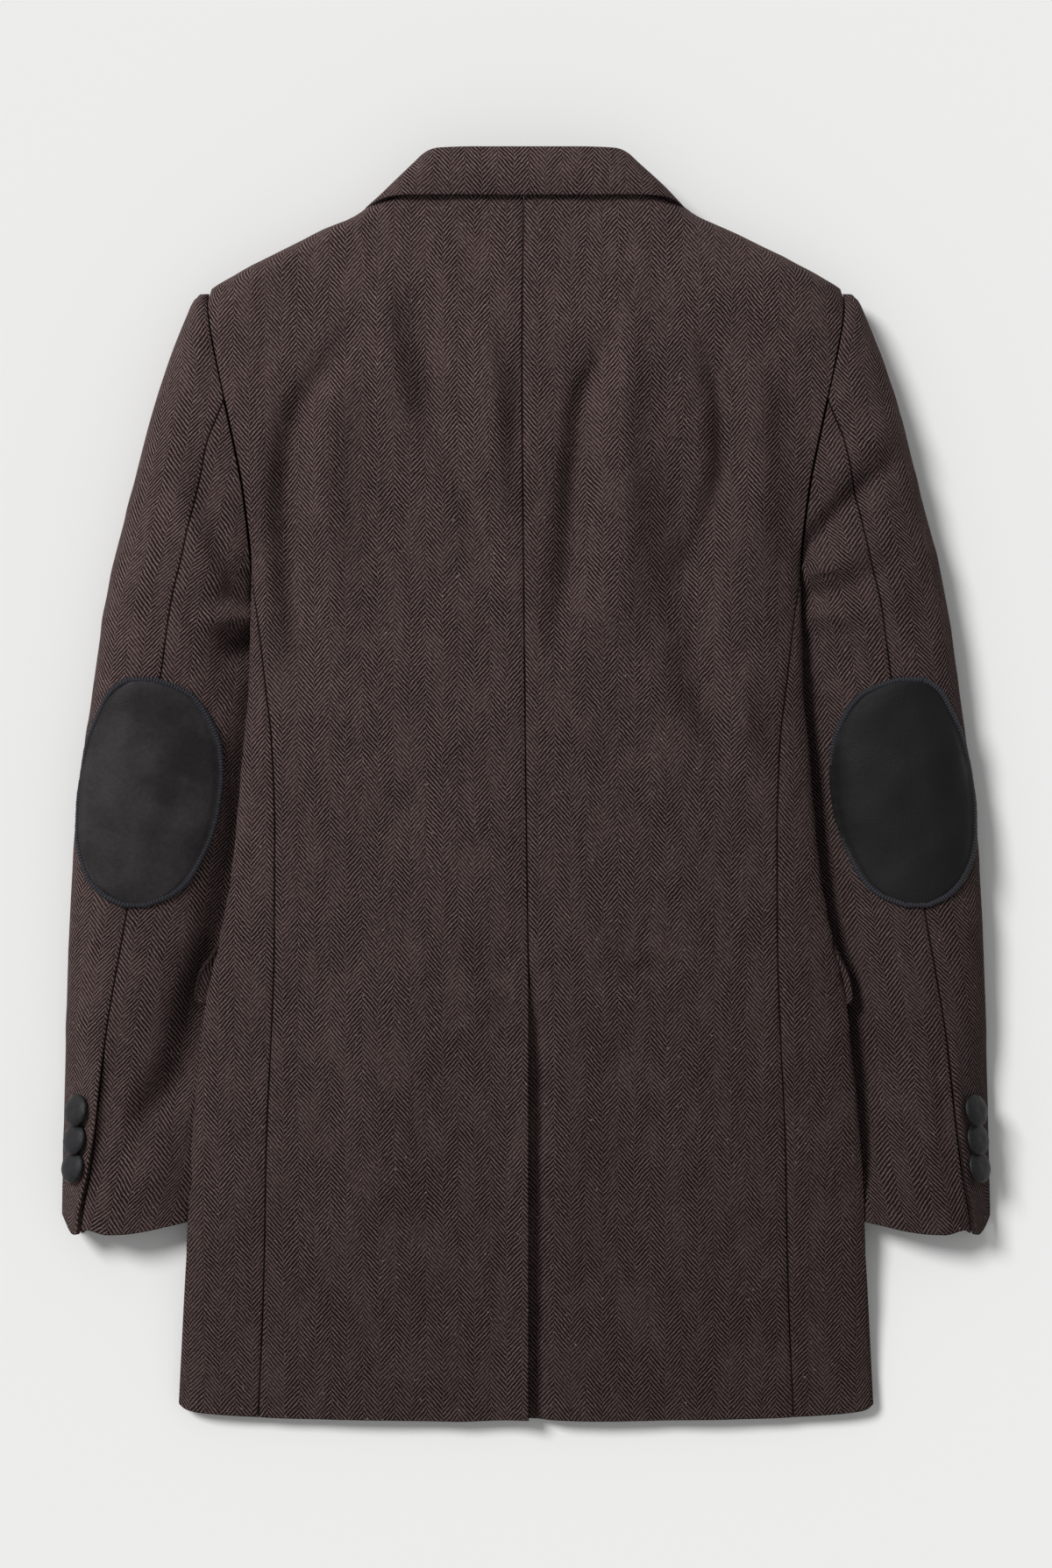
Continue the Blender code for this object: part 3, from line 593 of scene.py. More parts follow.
def flap_rows(down):
    """1 along the pocket flap's rows, fading to 0 above and below them."""
    far, near = FLAP_EASE
    begins = ease(down, FLAP_TOP - far, FLAP_TOP - near)
    return begins * (1 - ease(down, FLAP_END + near, FLAP_END + far))


def sleeve_section(down):
    """The sleeve from its inner line, over the top and the outer edge, back to it.

    Each edge rounds over by a power curve. Below the underarm the inner edge tucks under the
    body, lower by the flap's room along the flap's rows, and closes in a round nose.
    """
    inner, outer, high, low = sleeve_edges(down)
    turn = np.linspace(-1, 1, SECTION_POINTS)
    x = (inner + outer) / 2 + (outer - inner) / 2 * np.sin(turn * np.pi / 2)
    form = {name: smooth(SLEEVE_FORM, name, down) for name in SLEEVE_FORM if name != "down"}
    near = np.clip(1 - (x - inner) / form["inner_round"], 0, 1)
    far = np.clip(1 - (outer - x) / form["round"], 0, 1)
    top = form["crown"] - (form["crown"] - high) * near**2
    top = top - (top - form["outer"]) * (1 - (1 - far ** form["bow"]) ** (1 / form["bow"]))
    body_side = body_half(down)
    flap_room = FLAP_ROOM * flap_rows(down)
    beside = 1 - ease(x - body_side, *FLAP_BESIDE)
    top = top - FLAP_RECESS * flap_room * beside * (x > body_side)
    tucked = down > UNDERARM
    if tucked:
        roof = body_underside(x, down) - TUCK_GAP - flap_room
        top = np.where(x < body_side, np.minimum(top, roof), top)
        low = max(top[0] - 2 * NOSE_HEIGHT, 0.0)
    foot = np.clip(1 - (outer - x) / FOOT_ROUND, 0, 1)
    heel = np.clip(1 - (x - inner) / HEEL_ROUND, 0, 1)
    bottom = form["outer"] * (1 - np.sqrt(1 - foot**2)) + low * heel**2
    if tucked:
        tip = (top[0] + bottom[0]) / 2
        nose = np.sqrt(1 - np.clip(1 - (x - inner) / NOSE_LENGTH, 0, 1) ** 2)
        top = tip + (top - tip) * nose
        bottom = tip + (bottom - tip) * nose
    return loop_section(x, top, bottom, not tucked, tucked)


def folded(folds, x, down, depth=1.0):
    """How far the cloth stands out at each place: a soft bell across each fold's line.

    The line is read smoothly along its rows, and the nearest of its steps gives the distance
    and the bell's height and width.
    """
    out = np.zeros_like(x)
    for rows in folds.values():
        table = {"row": np.arange(len(rows[0])), **dict(zip(FOLD_ROWS, rows))}
        reach = 3 * max(table["width"])
        close = (x > min(table["x"]) - reach) & (x < max(table["x"]) + reach)
        close &= (down > min(table["down"]) - reach) & (down < max(table["down"]) + reach)
        if close.any():
            at = np.linspace(0, table["row"][-1], FOLD_STEPS)
            line = {name: smooth(table, name, at, key="row") for name in FOLD_ROWS}
            dx = x[close][..., None] - line["x"]
            distance = np.hypot(dx, down[close][..., None] - line["down"])
            nearest = distance.argmin(axis=-1)
            width = line["width"][nearest]
            out[close] += line["height"][nearest] * bell(distance.min(axis=-1), width)
    return out * depth


def swelled(x, down):
    """The cloth's slow unevenness: a sum of a few long sine waves."""
    out = np.zeros_like(x)
    for across, along, start, height in zip(*SWELLS.values()):
        out += height * np.sin(2 * np.pi * (across * x + along * down) * MM + start)
    return out


def relief_of(folds, side, depth, begins, rows):
    """A function for the folds and swells at a place, read in the coat's own X."""
    sign = -1 if side == "left" else 1

    def relief(x, down):
        fade = ease(down, begins, begins + rows)
        return fade * (folded(folds, sign * x, down, depth) + swelled(sign * x, down))

    return relief


def body_relief(side, depth):
    return relief_of(BACK_FOLDS, side, depth * BACK_DEPTH, BACK_NECK, BODY_RELIEF_ROWS)


def sleeve_relief(side, depth):
    return relief_of(SLEEVE_FOLDS, side, depth, SLEEVE_HEAD, SLEEVE_RELIEF_ROWS)


def rimmed(first, last, count):
    """Places from first to last, with a few close together at each end for a round edge."""
    reach = min(EDGE_ROUND, (last - first) / 4)
    inner = np.linspace(first + reach, last - reach, count)
    near = reach * EDGE_ROWS
    return np.concatenate([first + near, inner, (last - near)[::-1]])


def rounded(from_edge):
    """How far a folded cloth edge rolls inwards, by the distance from it: a quarter circle."""
    inside = np.clip(1 - from_edge / EDGE_ROUND, 0, 1)
    return EDGE_DROP * (1 - np.sqrt(1 - inside**2))


def cloth(section_at, start, end, downs, across, hem=None, sink=None, relief=None):
    """Grids of a panel's outer points, outward normals and cloth coordinates.

    Each row is a cross section read at even lengths along the cloth, so the grid's first
    parameter runs down the coat and its second along the section. Ridges push the cloth out
    along its normal, and troughs push it straight down, softly limited so that they stay above
    the surface. The cloth coordinates are the length along the section from X = 0 or from the
    section's start, the place down, and the distance from the panel's edge.
    """

    def row(down):
        section = section_at(down)
        first = start(section, down) + SEAM_GAP / 2
        last = end(section, down) - SEAM_GAP / 2
        s = across(section, down, first, last) if callable(across) else rimmed(first, last, across)
        x, z = section.point(s)
        reach = down + (hem(x, down) if hem else 0)
        return np.stack([x, -reach * np.ones_like(x), z], axis=-1), section.slope(s), s, section

    points, normals, lengths, rims = [], [], [], []
    for down in downs:
        here, along, s, section = row(down)
        normal = unit(np.cross(row(down + STEP_DOWN)[0] - row(down - STEP_DOWN)[0], along))
        if sink:
            here = here - normal * sink(here[:, 0], down)[:, None]
        if relief:
            side_at = section.s[section.top][-1]
            on_top = 1 - ease(s, side_at + SIDE_FADE[0], side_at + SIDE_FADE[1])
            push = relief(here[:, 0], -here[:, 1]) * on_top
            room = LOWEST_SHARE * np.maximum(here[:, 2] - LOWEST_TOP, 1.0)
            push = np.where(push < 0, room * np.tanh(push / room), push)[:, None]
            here = here + np.where(push < 0, [0.0, 0.0, 1.0], normal) * push
        origin = np.interp(0, section.x[section.top], section.s[section.top])
        points.append(here)
        normals.append(normal)
        lengths.append(s - (origin if section.x[0] < 0 else 0))
        rims.append(np.minimum(s - s[0], s[-1] - s))
    points, normals = np.array(points), np.array(normals)
    rows = np.asarray(downs, float)
    from_ends = np.minimum(rows[-1] - rows, rows - rows[0])
    edge = np.minimum(np.array(rims), from_ends[:, None])
    points = points - normals * rounded(edge)[..., None]
    chart = np.stack([np.array(lengths), np.broadcast_to(rows[:, None], edge.shape), edge], axis=-1)
    return points, normals, chart


def fine_rows(first, last, spacing, keep=()):
    """Rows down a panel at about that spacing, close together at both ends for round edges."""
    count = max(int((last - first - 2 * EDGE_ROUND) / spacing), 2)
    return np.unique(np.round(np.concatenate([rimmed(first, last, count), keep]), 3))


def wall_faces(rows, columns):
    """Quads of a closed wall between an outer and an inner grid of points, and its rim."""
    count = rows * columns
    index = np.arange(count).reshape(rows, columns)
    quads = np.stack([index[:-1, :-1], index[1:, :-1], index[1:, 1:], index[:-1, 1:]], axis=-1)
    quads = quads.reshape(-1, 4)
    rim = np.concatenate([index[0, :-1], index[:-1, -1], index[-1, :0:-1], index[:0:-1, 0]])
    following = np.roll(rim, -1)
    wall = np.stack([rim, following, following + count, rim + count], axis=-1)
    return np.concatenate([quads, quads[:, ::-1] + count, wall])


def round_faces(index):
    """Quads between the rows of a grid of point numbers whose columns close round."""
    index = np.concatenate([index, index[:, :1]], axis=1)
    quads = np.stack([index[:-1, :-1], index[:-1, 1:], index[1:, 1:], index[1:, :-1]], axis=-1)
    return quads.reshape(-1, 4)


def add_mesh(name, points, faces, chart, look, node=None, mirror=False, sharp=60):
    """One piece from points in millimetres, with its cloth coordinates as a UV map in metres."""
    place = np.array(points, float)
    if mirror:
        place[:, 0] *= -1
        faces = faces[:, ::-1]
    place[:, 1] += LENGTH / 2
    mesh = bpy.data.meshes.new(name)
    mesh.vertices.add(len(place))
    mesh.vertices.foreach_set("co", (place * MM).astype(np.float32).ravel())
    mesh.loops.add(faces.size)
    mesh.loops.foreach_set("vertex_index", faces.astype(np.int32).ravel())
    mesh.polygons.add(len(faces))
    starts = np.arange(0, faces.size, faces.shape[1], dtype=np.int32)
    mesh.polygons.foreach_set("loop_start", starts)
    mesh.update(calc_edges=True)
    layer = mesh.uv_layers.new(name="Cloth")
    layer.data.foreach_set("uv", (chart[faces.ravel(), :2] * MM).astype(np.float32).ravel())
    if chart.shape[1] > 2:
        rim = mesh.attributes.new("Rim", "FLOAT", "POINT")
        rim.data.foreach_set("value", np.clip(chart[:, 2] / RIM_WIDTH, 0, 1).astype(np.float32))
    mesh.validate()
    mesh.shade_smooth()
    mesh.set_sharp_from_angle(angle=np.radians(sharp))
    mesh.materials.append(look)
    made = bpy.data.objects.new(name, mesh)
    bpy.context.scene.collection.objects.link(made)
    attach(made, "root")
    if node:
        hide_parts(node)
    return made


def add_cloth(name, grid, look, side="right", wall=WALL, kind="cloth"):
    """A panel of cloth: its outer grid, and the same grid moved in by the wall."""
    outer, normals, chart = grid
    rows, columns, _ = outer.shape
    points = np.concatenate([outer.reshape(-1, 3), (outer - normals * wall).reshape(-1, 3)])
    both = np.concatenate([chart.reshape(-1, 3), chart.reshape(-1, 3)])
    left = side == "left"
    if left:
        both = both * [-1, 1, 1]
    faces = wall_faces(rows, columns)
    return add_mesh(f"{name}_{kind}", points, faces, both, look, name, left)


side_seam = on_line(SIDE_SEAM)
sleeve_seam = on_line(BACK_SEAM)
front_end = on_line(FRONT_EDGE, read=Section.on_bottom)
lapel_start = on_line(LAPEL_EDGE, read=Section.on_bottom)


def centre_offset(down):
    return smooth(CENTRE_SEAM, "offset", down)


def back_start(side):
    """Where a back panel begins: the centre seam, with the right one's underlap at the vent."""

    def start(section, down):
        if side == "left":
            return section.on_top(-centre_offset(down))
        underlap = VENT_UNDERLAP * ease(down, VENT_TOP, VENT_TOP + VENT_EASE[1])
        return section.on_top(centre_offset(down) - underlap)

    return start


def back_end(section, down):
    return section.s[section.top][-1] if down <= UNDERARM else side_seam(section, down)


def front_start(section, down):
    if down <= UNDERARM:
        return section.s[section.bottom][0] + SHOULDER_GAP
    return side_seam(section, down)


def top_sleeve_start(section, down):
    return 0.0 if down <= BACK_SEAM_START else sleeve_seam(section, down)


def section_start(_, down):
    """The start of the line, with extra room where the sleeve's halves meet at its inner edge."""
    return NOSE_GAP * (1 - NOSE_CLOSES * ease(down, UNDERARM, UNDERARM + 30))


def section_end(section, down):
    return section.s[-1] - section_start(section, down)


def vent_sink(x, down):
    """How far the right back dips under the left one along the vent."""
    far, near = VENT_EASE
    begins = ease(down, VENT_TOP - far, VENT_TOP - near)
    return LAYER * (1 - ease(x - centre_offset(down), VENT_LEDGE, VENT_SLOPE)) * begins


def vent_columns(section, down, first, last):
    """Places across the right back, close together over the vent's step."""
    offset = centre_offset(down)
    ledge = max(section.on_top(offset + VENT_LEDGE), first + 2 * EDGE_ROUND)
    slope = section.on_top(offset + VENT_SLOPE)
    near = EDGE_ROUND * np.append(EDGE_ROWS, 1.0)
    inner = [
        np.linspace(first + EDGE_ROUND, ledge, 12)[1:],
        np.linspace(ledge, slope, 9)[1:],
        np.linspace(slope, last - EDGE_ROUND, 76)[1:],
    ]
    return np.concatenate([first + near, *inner, (last - near[:-1])[::-1]])


def body_hem(x, down):
    edge = smooth(HEM, "down", np.abs(x), key="half")
    return ease(down, HEM_EASE, HEM_LINE) * (edge - HEM_LINE)


def cuff_hem(x, down):
    edge = smooth(CUFF_HEM, "down", x, key="half")
    return ease(down, CUFF_EASE, CUFF_END) * (edge - CUFF_END)


def front_lift(side):
    """Height of a front over what lies between it and the surface, by place."""

    def lift(x, down):
        turned = (1 - ease(down, *LAPEL_FOOT)) * (1 - ease(x, *LAPEL_SIDE))
        flap_start = body_half(down) - FLAP_LENGTH
        far, near = FLAP_EASE
        flap = flap_rows(down) * ease(x, flap_start - far, flap_start - near)
        height = LAYER * np.maximum(turned, flap)
        if side == "right":
            height = height + LAYER * (1 - ease(x, *LAP_SIDE)) * ease(down, *LAP_TOP)
        return height

    return lift


def collar_line(read, name):
    """Points of one of the collar's lines."""
    return np.stack([read[f"{name}_x"], -read[f"{name}_down"], read[f"{name}_z"]], axis=-1)


def collar_profile(name, read, t):
    """The collar's cloth across, between two of its lines.

    The fall is a quadratic arch from the roll line, over a bulge, to the outer edge. The stand
    runs straight from just inside the roll line down to the neck seam.
    """
    roll, turn = collar_line(read, "roll"), np.radians(read["bulge_turn"])
    way = np.stack([np.sin(turn), 0 * turn, np.cos(turn)], axis=-1)
    t = t[None, :, None]
    if name == "collar":
        edge = collar_line(read, "edge")
        crest = (roll + edge) / 2 + 2 * read["bulge"][:, None] * way
        arch = roll[:, None] * (1 - t) ** 2 + crest[:, None] * 2 * t * (1 - t)
        return arch + edge[:, None] * t**2
    top = roll - way * (LAYER + STAND_GAP) + np.array([0, -STAND_GAP, 0])
    return top[:, None] * (1 - t) + collar_line(read, "seam")[:, None] * t


def grid_lengths(points, axis):
    """Length run along a grid's rows or columns from its first one."""
    step = np.linalg.norm(np.diff(points, axis=axis), axis=-1)
    run = np.cumsum(step, axis=axis)
    return np.concatenate([np.zeros_like(run.take([0], axis=axis)), run], axis=axis)


def make_collar(looks):
    """The collar's fall and its stand, each mirrored about the centre back.

    Each is read smoothly along the collar's rows. The fall has slow sine waves along it, and
    quicker ones near its outer edge.
    """
    made = []
    table = {"row": np.arange(len(COLLAR["roll_x"])), **COLLAR}
    for name, (last_row, count) in COLLAR_SPAN.items():
        at = np.linspace(0, last_row, count)
        read = {column: smooth(table, column, at, key="row") for column in COLLAR}
        half = collar_profile(name, read, COLLAR_ACROSS)
        outer = np.concatenate([half[:0:-1] * np.array([-1, 1, 1]), half])[::-1]
        normals = -unit(np.cross(np.gradient(outer, axis=1), np.gradient(outer, axis=0)))
        along = grid_lengths(outer, 0)
        along = along - along[len(along) // 2]
        across = grid_lengths(outer, 1)
        width = across[:, -1:]
        from_rim = np.minimum(across, width - across)
        from_rim = np.abs(np.minimum(from_rim, np.minimum(along - along[0], along[-1] - along)))
        if name == "collar":
            waves = 0.5 * np.sin(along / 23.0 + 0.8) * np.sin(np.pi * across / width)
            waves += 0.35 * np.sin(along / 9.0) * bell(width - across, 12.0)
            outer = outer + normals * waves[..., None]
        outer = outer - normals * rounded(from_rim)[..., None]
        chart = np.stack([along, across, from_rim], axis=-1)
        made.append(add_cloth(name, (outer, normals, chart), looks["tweed"]))
    return made


def back_relief(side, depth):
    """The relief of a back: its folds, the vent's edges, and the valleys along its seams.

    Along the vent the left back's free edge is lifted in a soft bell, and the right back has a
    hollow beside it. The centre seam has a valley and short puckers, and the side seam a valley.
    """
    lift = body_relief(side, depth)
    left = side == "left"
    place, hollow, deep = VENT_SHADOW

    def vent(x, down):
        if left:
            rows = VENT_LIFT_ROWS
            height = VENT_LIFT * bell(x + centre_offset(down), VENT_ROLL)
        else:
            rows = VENT_SHADOW_ROWS
            height = -deep * bell(x - centre_offset(down) - place, hollow)
        return height * ease(down, VENT_TOP + rows[0], VENT_TOP + rows[1])

    def relief(x, down):
        beside = np.abs(x - (-1 if left else 1) * centre_offset(down))
        closed, opened = SEAM_CLOSED_ROWS
        closed_here = 1 - ease(down, VENT_TOP + closed, VENT_TOP + opened)
        valley = closed_here * bell(beside, CENTRE_VALLEY) + SIDE_DIP_SHARE * side_valley(x, down)
        drift = PUCKER["drift"] * np.sin(down * PUCKER["drift_turn"])
        pucker = PUCKER["height"] * np.sin(down * PUCKER["turn"] + drift)
        pucker = pucker * bell(beside, PUCKER["width"]) * closed_here
        return lift(x, down) + vent(x, down) - SEAM_DIP * valley + pucker

    return relief


def side_valley(x, down):
    """1 along the side seam below the underarm, fading within a few millimetres of it."""
    shown = ease(down, UNDERARM, UNDERARM + SIDE_VALLEY_ROWS)
    return shown * bell(x - smooth(SIDE_SEAM, "half", down), SIDE_VALLEY)


def make_backs(looks, depth):
    """The two back panels: the left one's vent edge lies over the right one's underlap."""
    made = []
    keep = [VENT_TOP - VENT_EASE[1], VENT_TOP, VENT_TOP + VENT_EASE[1]]
    downs = fine_rows(BACK_NECK, HEM_LINE, 3.2, keep)
    for side, across, sink in (("left", 84, None), ("right", vent_columns, vent_sink)):
        relief = back_relief(side, depth)
        grid = cloth(body_section, back_start(side), back_end, downs, across, body_hem, sink, relief)
        made.append(add_cloth(f"back_{side}", grid, looks["tweed"], side))
    return made


def make_fronts(looks, depth):
    """The two fronts, from the side seam round the side and in under the back."""
    made = []
    downs = fine_rows(FRONT_TOP, HEM_LINE, 4.0)
    for side in SIDES:
        lift, raised = body_relief(side, depth), front_lift(side)

        def section(down, raised=raised):
            return body_section(down, raised)

        def relief(x, down, lift=lift):
            return lift(x, down) - SIDE_DIP_SHARE * SEAM_DIP * side_valley(x, down)

        grid = cloth(section, front_start, front_end, downs, 100, body_hem, None, relief)
        made.append(add_cloth(f"front_{side}", grid, looks["tweed"], side))
    return made


def make_sleeves(looks, depth):
    """Top and under sleeves, which meet along the back seam and at the inner edge.

    At the cuff's vent the top sleeve's edge is lifted and the under sleeve hollowed, each in a
    soft bell beside the seam's line. Above it the seam is a valley.
    """
    made = []
    top_rows = fine_rows(SLEEVE_HEAD, CUFF_END, 3.2)
    under_rows = fine_rows(BACK_SEAM_START + STEP_DOWN, CUFF_END, 3.2)
    for side in SIDES:
        lift = sleeve_relief(side, depth)

        def relief(x, down, height, rows, inside, lift=lift):
            to_seam = x - smooth(BACK_SEAM, "half", down)
            shown = ease(down, BACK_SEAM_START, BACK_SEAM_START + SLEEVE_VALLEY_ROWS)
            open_here = ease(down, CUFF_VENT + rows[0], CUFF_VENT + rows[1])
            return (
                lift(x, down)
                - SEAM_DIP * shown * bell(to_seam, SLEEVE_VALLEY)
                + height * open_here * bell(to_seam + inside, CUFF_ROLL)
            )

        def lapped(x, down, relief=relief):
            return relief(x, down, CUFF_LIFT, CUFF_LIFT_ROWS, 0)

        def under_lap(x, down, relief=relief):
            return relief(x, down, -CUFF_HOLLOW, CUFF_HOLLOW_ROWS, CUFF_ROLL)

        for name, start, end, rows, across, own in (
            ("top_sleeve", top_sleeve_start, section_end, top_rows, 96, lapped),
            ("under_sleeve", section_start, sleeve_seam, under_rows, 66, under_lap),
        ):
            grid = cloth(sleeve_section, start, end, rows, across, cuff_hem, None, own)
            made.append(add_cloth(f"{name}_{side}", seam_chart(grid), looks["tweed"], side))
    return made


def seam_chart(grid):
    """The sleeve's cloth coordinates, measured across from the back seam and along the sleeve."""
    points, normals, chart = grid
    downs = chart[:, 0, 1]
    above = np.minimum(downs - SEAM_READ_FROM, 0)
    seam = smooth(BACK_SEAM, "half", np.maximum(downs, SEAM_READ_FROM)) + HEAD_LEAN * above
    lean = np.interp(downs, *LEAN_OF_WEAVE)
    along = run_length(np.diff(downs) * np.sqrt(1 + lean[1:] ** 2)) + downs[0]
    seam_s = np.array([sleeve_section(down).on_top(x) for down, x in zip(downs, seam)])
    across = (chart[..., 0] - seam_s[:, None]) * np.cos(np.arctan(lean))[:, None]
    rows = np.broadcast_to(along[:, None], across.shape)
    return points, normals, np.stack([across, rows, chart[..., 2]], axis=-1)


def make_lapels(looks):
    """The turned lapels, flat on the surface under the fronts."""

    def flat_section(_):
        x = np.linspace(-CENTRE_REACH, FLAT_REACH, SECTION_POINTS)
        return loop_section(x, 0 * x + WALL, 0 * x)

    downs = fine_rows(LAPEL_TOP, LAPEL_END, 3.0)
    made = []
    for side in SIDES:
        points, normals, chart = cloth(flat_section, lapel_start, front_end, downs, 26)
        points[..., 2] = np.maximum(points[..., 2], 0.0)
        made.append(add_cloth(f"lapel_{side}", (points, normals, chart), looks["tweed"], side))
    return made


def sleeve_point(down, x, depth_of=None):
    """A point on the sleeve's top with its outward normal, at a place down and across."""
    here = sleeve_section(down)
    s = here.on_top(x)
    across, height = here.point(s)
    point = np.array([across, -down, height])
    ends = []
    for place in (down - STEP_DOWN, down + STEP_DOWN):
        section = sleeve_section(place)
        ends.append(np.array([x, -place, section.point(section.on_top(x))[1]]))
    normal = unit(np.cross(ends[1] - ends[0], here.slope(np.array([s]))[0]))
    if depth_of:
        point = point + normal * depth_of(np.array([x]), np.array([down]))[0]
    return point, normal


def make_patches(looks, depth):
    """The elbow patches: leather moved out from the sleeve, crowned, with a groove at its rim."""
    made = []
    place, width, deep = PATCH_GROOVE
    inner, outer = on_line(PATCH, "inner"), on_line(PATCH, "outer")
    downs = fine_rows(PATCH["down"][0], PATCH["down"][-1], 1.8)
    for side in SIDES:
        lift = sleeve_relief(side, depth)

        def relief(x, down, lift=lift):
            outside = np.maximum(smooth(PATCH, "inner", down) - x, x - smooth(PATCH, "outer", down))
            inside = np.clip(-outside, 0, PATCH_RISE)
            crown = PATCH_CROWN * (1 - (1 - inside / PATCH_RISE) ** 2)
            return lift(x, down) + crown - deep * bell(inside - place, width)

        points, normals, chart = cloth(sleeve_section, inner, outer, downs, 62, relief=relief)
        grid = (points + normals * (PATCH_GAP + PATCH_WALL), normals, chart)
        look, slot = looks["leather"], "patch_leather"
        patch = add_cloth(f"elbow_patch_{side}", grid, look, side, PATCH_WALL, "leather")
        made.append((patch, make_patch_stitch(side, looks, lift)))
    return made


def patch_outline(count):
    """Places round the elbow patch's rim at even lengths, X and down, and its whole length."""
    turn = np.linspace(0, 1, 200)
    first, last = PATCH["down"][0], PATCH["down"][-1]
    place = first + (last - first) * (1 - np.cos(turn * np.pi)) / 2
    outer = np.stack([smooth(PATCH, "outer", place), place], axis=-1)
    inner = np.stack([smooth(PATCH, "inner", place), place], axis=-1)[::-1]
    line = np.concatenate([outer, inner, outer[:1]])
    run = run_length(np.linalg.norm(np.diff(line, axis=0), axis=1))
    even = np.linspace(0, run[-1], count, endpoint=False)
    return np.stack([np.interp(even, run, line[:, 0]), np.interp(even, run, line[:, 1])], -1), run[-1]


def closed_tube(centres, normals, size):
    """A closed tube along a path: an ellipse across it, on the surface that the normals leave.

    The two parameters are the place along the path and the angle round it.
    """
    tangent = unit(np.roll(centres, -1, axis=0) - np.roll(centres, 1, axis=0))
    beside = unit(np.cross(normals, tangent))
    up = np.cross(tangent, beside)
    angle = (np.arange(STITCH_SIDES) / STITCH_SIDES * 2 * np.pi)[None, :, None]
    ring = STITCH_WIDTH * np.cos(angle) * beside[:, None]
    ring = ring + STITCH_HEIGHT * np.sin(angle) * up[:, None]
    points = centres[:, None] + ring * size[..., None]
    index = np.arange(len(centres) * STITCH_SIDES).reshape(-1, STITCH_SIDES)
    return points.reshape(-1, 3), round_faces(np.concatenate([index, index[:1]]))


def make_patch_stitch(side, looks, lift):
    """The overlocked rim of an elbow patch: a low tube round it, ridged by each thread.

    The tube's size follows a cosine of the thread's pitch along the rim, to the power 0.7, with
    a slow sine over it.
    """
    places, length = patch_outline(STITCH_POINTS)
    middle = np.array([(PATCH["inner"][5] + PATCH["outer"][5]) / 2, PATCH_MIDDLE_DOWN])
    points, normals = [], []
    for x, down in places + unit(middle - places) * STITCH_INSET:
        point, normal = sleeve_point(down, x, lift)
        points.append(point + normal * STITCH_LIFT)
        normals.append(normal)
    run = np.arange(STITCH_POINTS) / STITCH_POINTS * length
    thread = 0.5 + 0.5 * np.cos(run * 2 * np.pi / STITCH_PITCH)
    height, turns = STITCH_UNEVEN
    size = 1 + STITCH_RIDGE * (thread**0.7 - 0.5) + height * np.sin(run * turns)
    tube, faces = closed_tube(np.array(points), np.array(normals), size[:, None])
    turn = np.arange(STITCH_SIDES) / STITCH_SIDES * 2 * np.pi
    chart = np.stack(np.broadcast_arrays(run[:, None], STITCH_WIDTH * turn[None, :]), axis=-1)
    chart = chart.reshape(-1, 2)
    name, look, slot = f"patch_stitch_{side}", looks["stitch"], "patch_leather"
    return add_mesh(name, tube, faces, chart, look, mirror=side == "left", sharp=180)


def flap_section(side):
    """The front's underside from the flap's free tip back to its seam end.

    The tip runs straight down and outwards, and tapers from the seam to a round lower corner.
    """
    lift = front_lift(side)

    def section(down):
        x = body_half(down) - np.linspace(FLAP_TUCK, FLAP_LENGTH, SECTION_POINTS)
        z = lifted(body_underside(x, down), lift(x, down))
        reach = np.linspace(1, 0, 40, endpoint=False)
        corner = np.clip((down - FLAP_END + FLAP_CORNER) / FLAP_CORNER, 0, 1)
        shown = ease(down, FLAP_TOP - 2, FLAP_TOP + FLAP_TAPER)
        shown = shown * np.sqrt(1 - FLAP_CORNER_SHARE * corner**2)
        tip_x = x[0] + reach * (FLAP_REACH[side] * shown + FLAP_TUCK)
        tip_z = z[0] + reach * (FLAP_TIP_HEIGHT - z[0])
        return Section(np.concatenate([tip_x, x]), np.concatenate([tip_z, z]), 2)

    return section


def make_flaps(looks):
    """The pocket flaps under the fronts, whose tips stand out past the sides."""
    made = []
    downs = fine_rows(FLAP_TOP, FLAP_END, 2.5)
    for side in SIDES:
        base, normals, chart = cloth(flap_section(side), section_start, section_end, downs, 70)
        grid = (base + normals * LAYER, normals, chart)
        made.append(add_cloth(f"pocket_flap_{side}", grid, looks["tweed"], side, FLAP_WALL))
    return made


def button_cover():
    """A covered button round its own axis: a smooth outline turned, gathered and dimpled.

    The first parameter runs along the outline and the second round the axis. The cover's
    gathers are a sine round it that grows with the fourth power of the radius.
    """
    run = run_length(np.hypot(np.diff(BUTTON["radius"]), np.diff(BUTTON["height"])))
    table = {"run": run, **BUTTON}
    at = np.concatenate([np.linspace(0, run[1], 6), np.linspace(run[1], run[-1], 34)[1:]])
    radius, height = (smooth(table, name, at, key="run")[:, None] for name in BUTTON)
    angle = np.arange(BUTTON_SIDES) / BUTTON_SIDES * 2 * np.pi
    x, y = radius * np.cos(angle), radius * np.sin(angle)
    covered = np.where(height > BUTTON_COVER_FROM, 1.0, 0.0)
    (gather, count, start), (dimple, width) = BUTTON_GATHER, BUTTON_DIMPLE
    z = height + covered * gather * np.sin(angle * count + start) * (radius / BUTTON_RADIUS) ** 4
    z = z - covered * dimple * bell(radius, width)
    faces = round_faces(np.arange(x.size).reshape(x.shape))
    return np.stack([x, y, z], axis=-1).reshape(-1, 3), faces


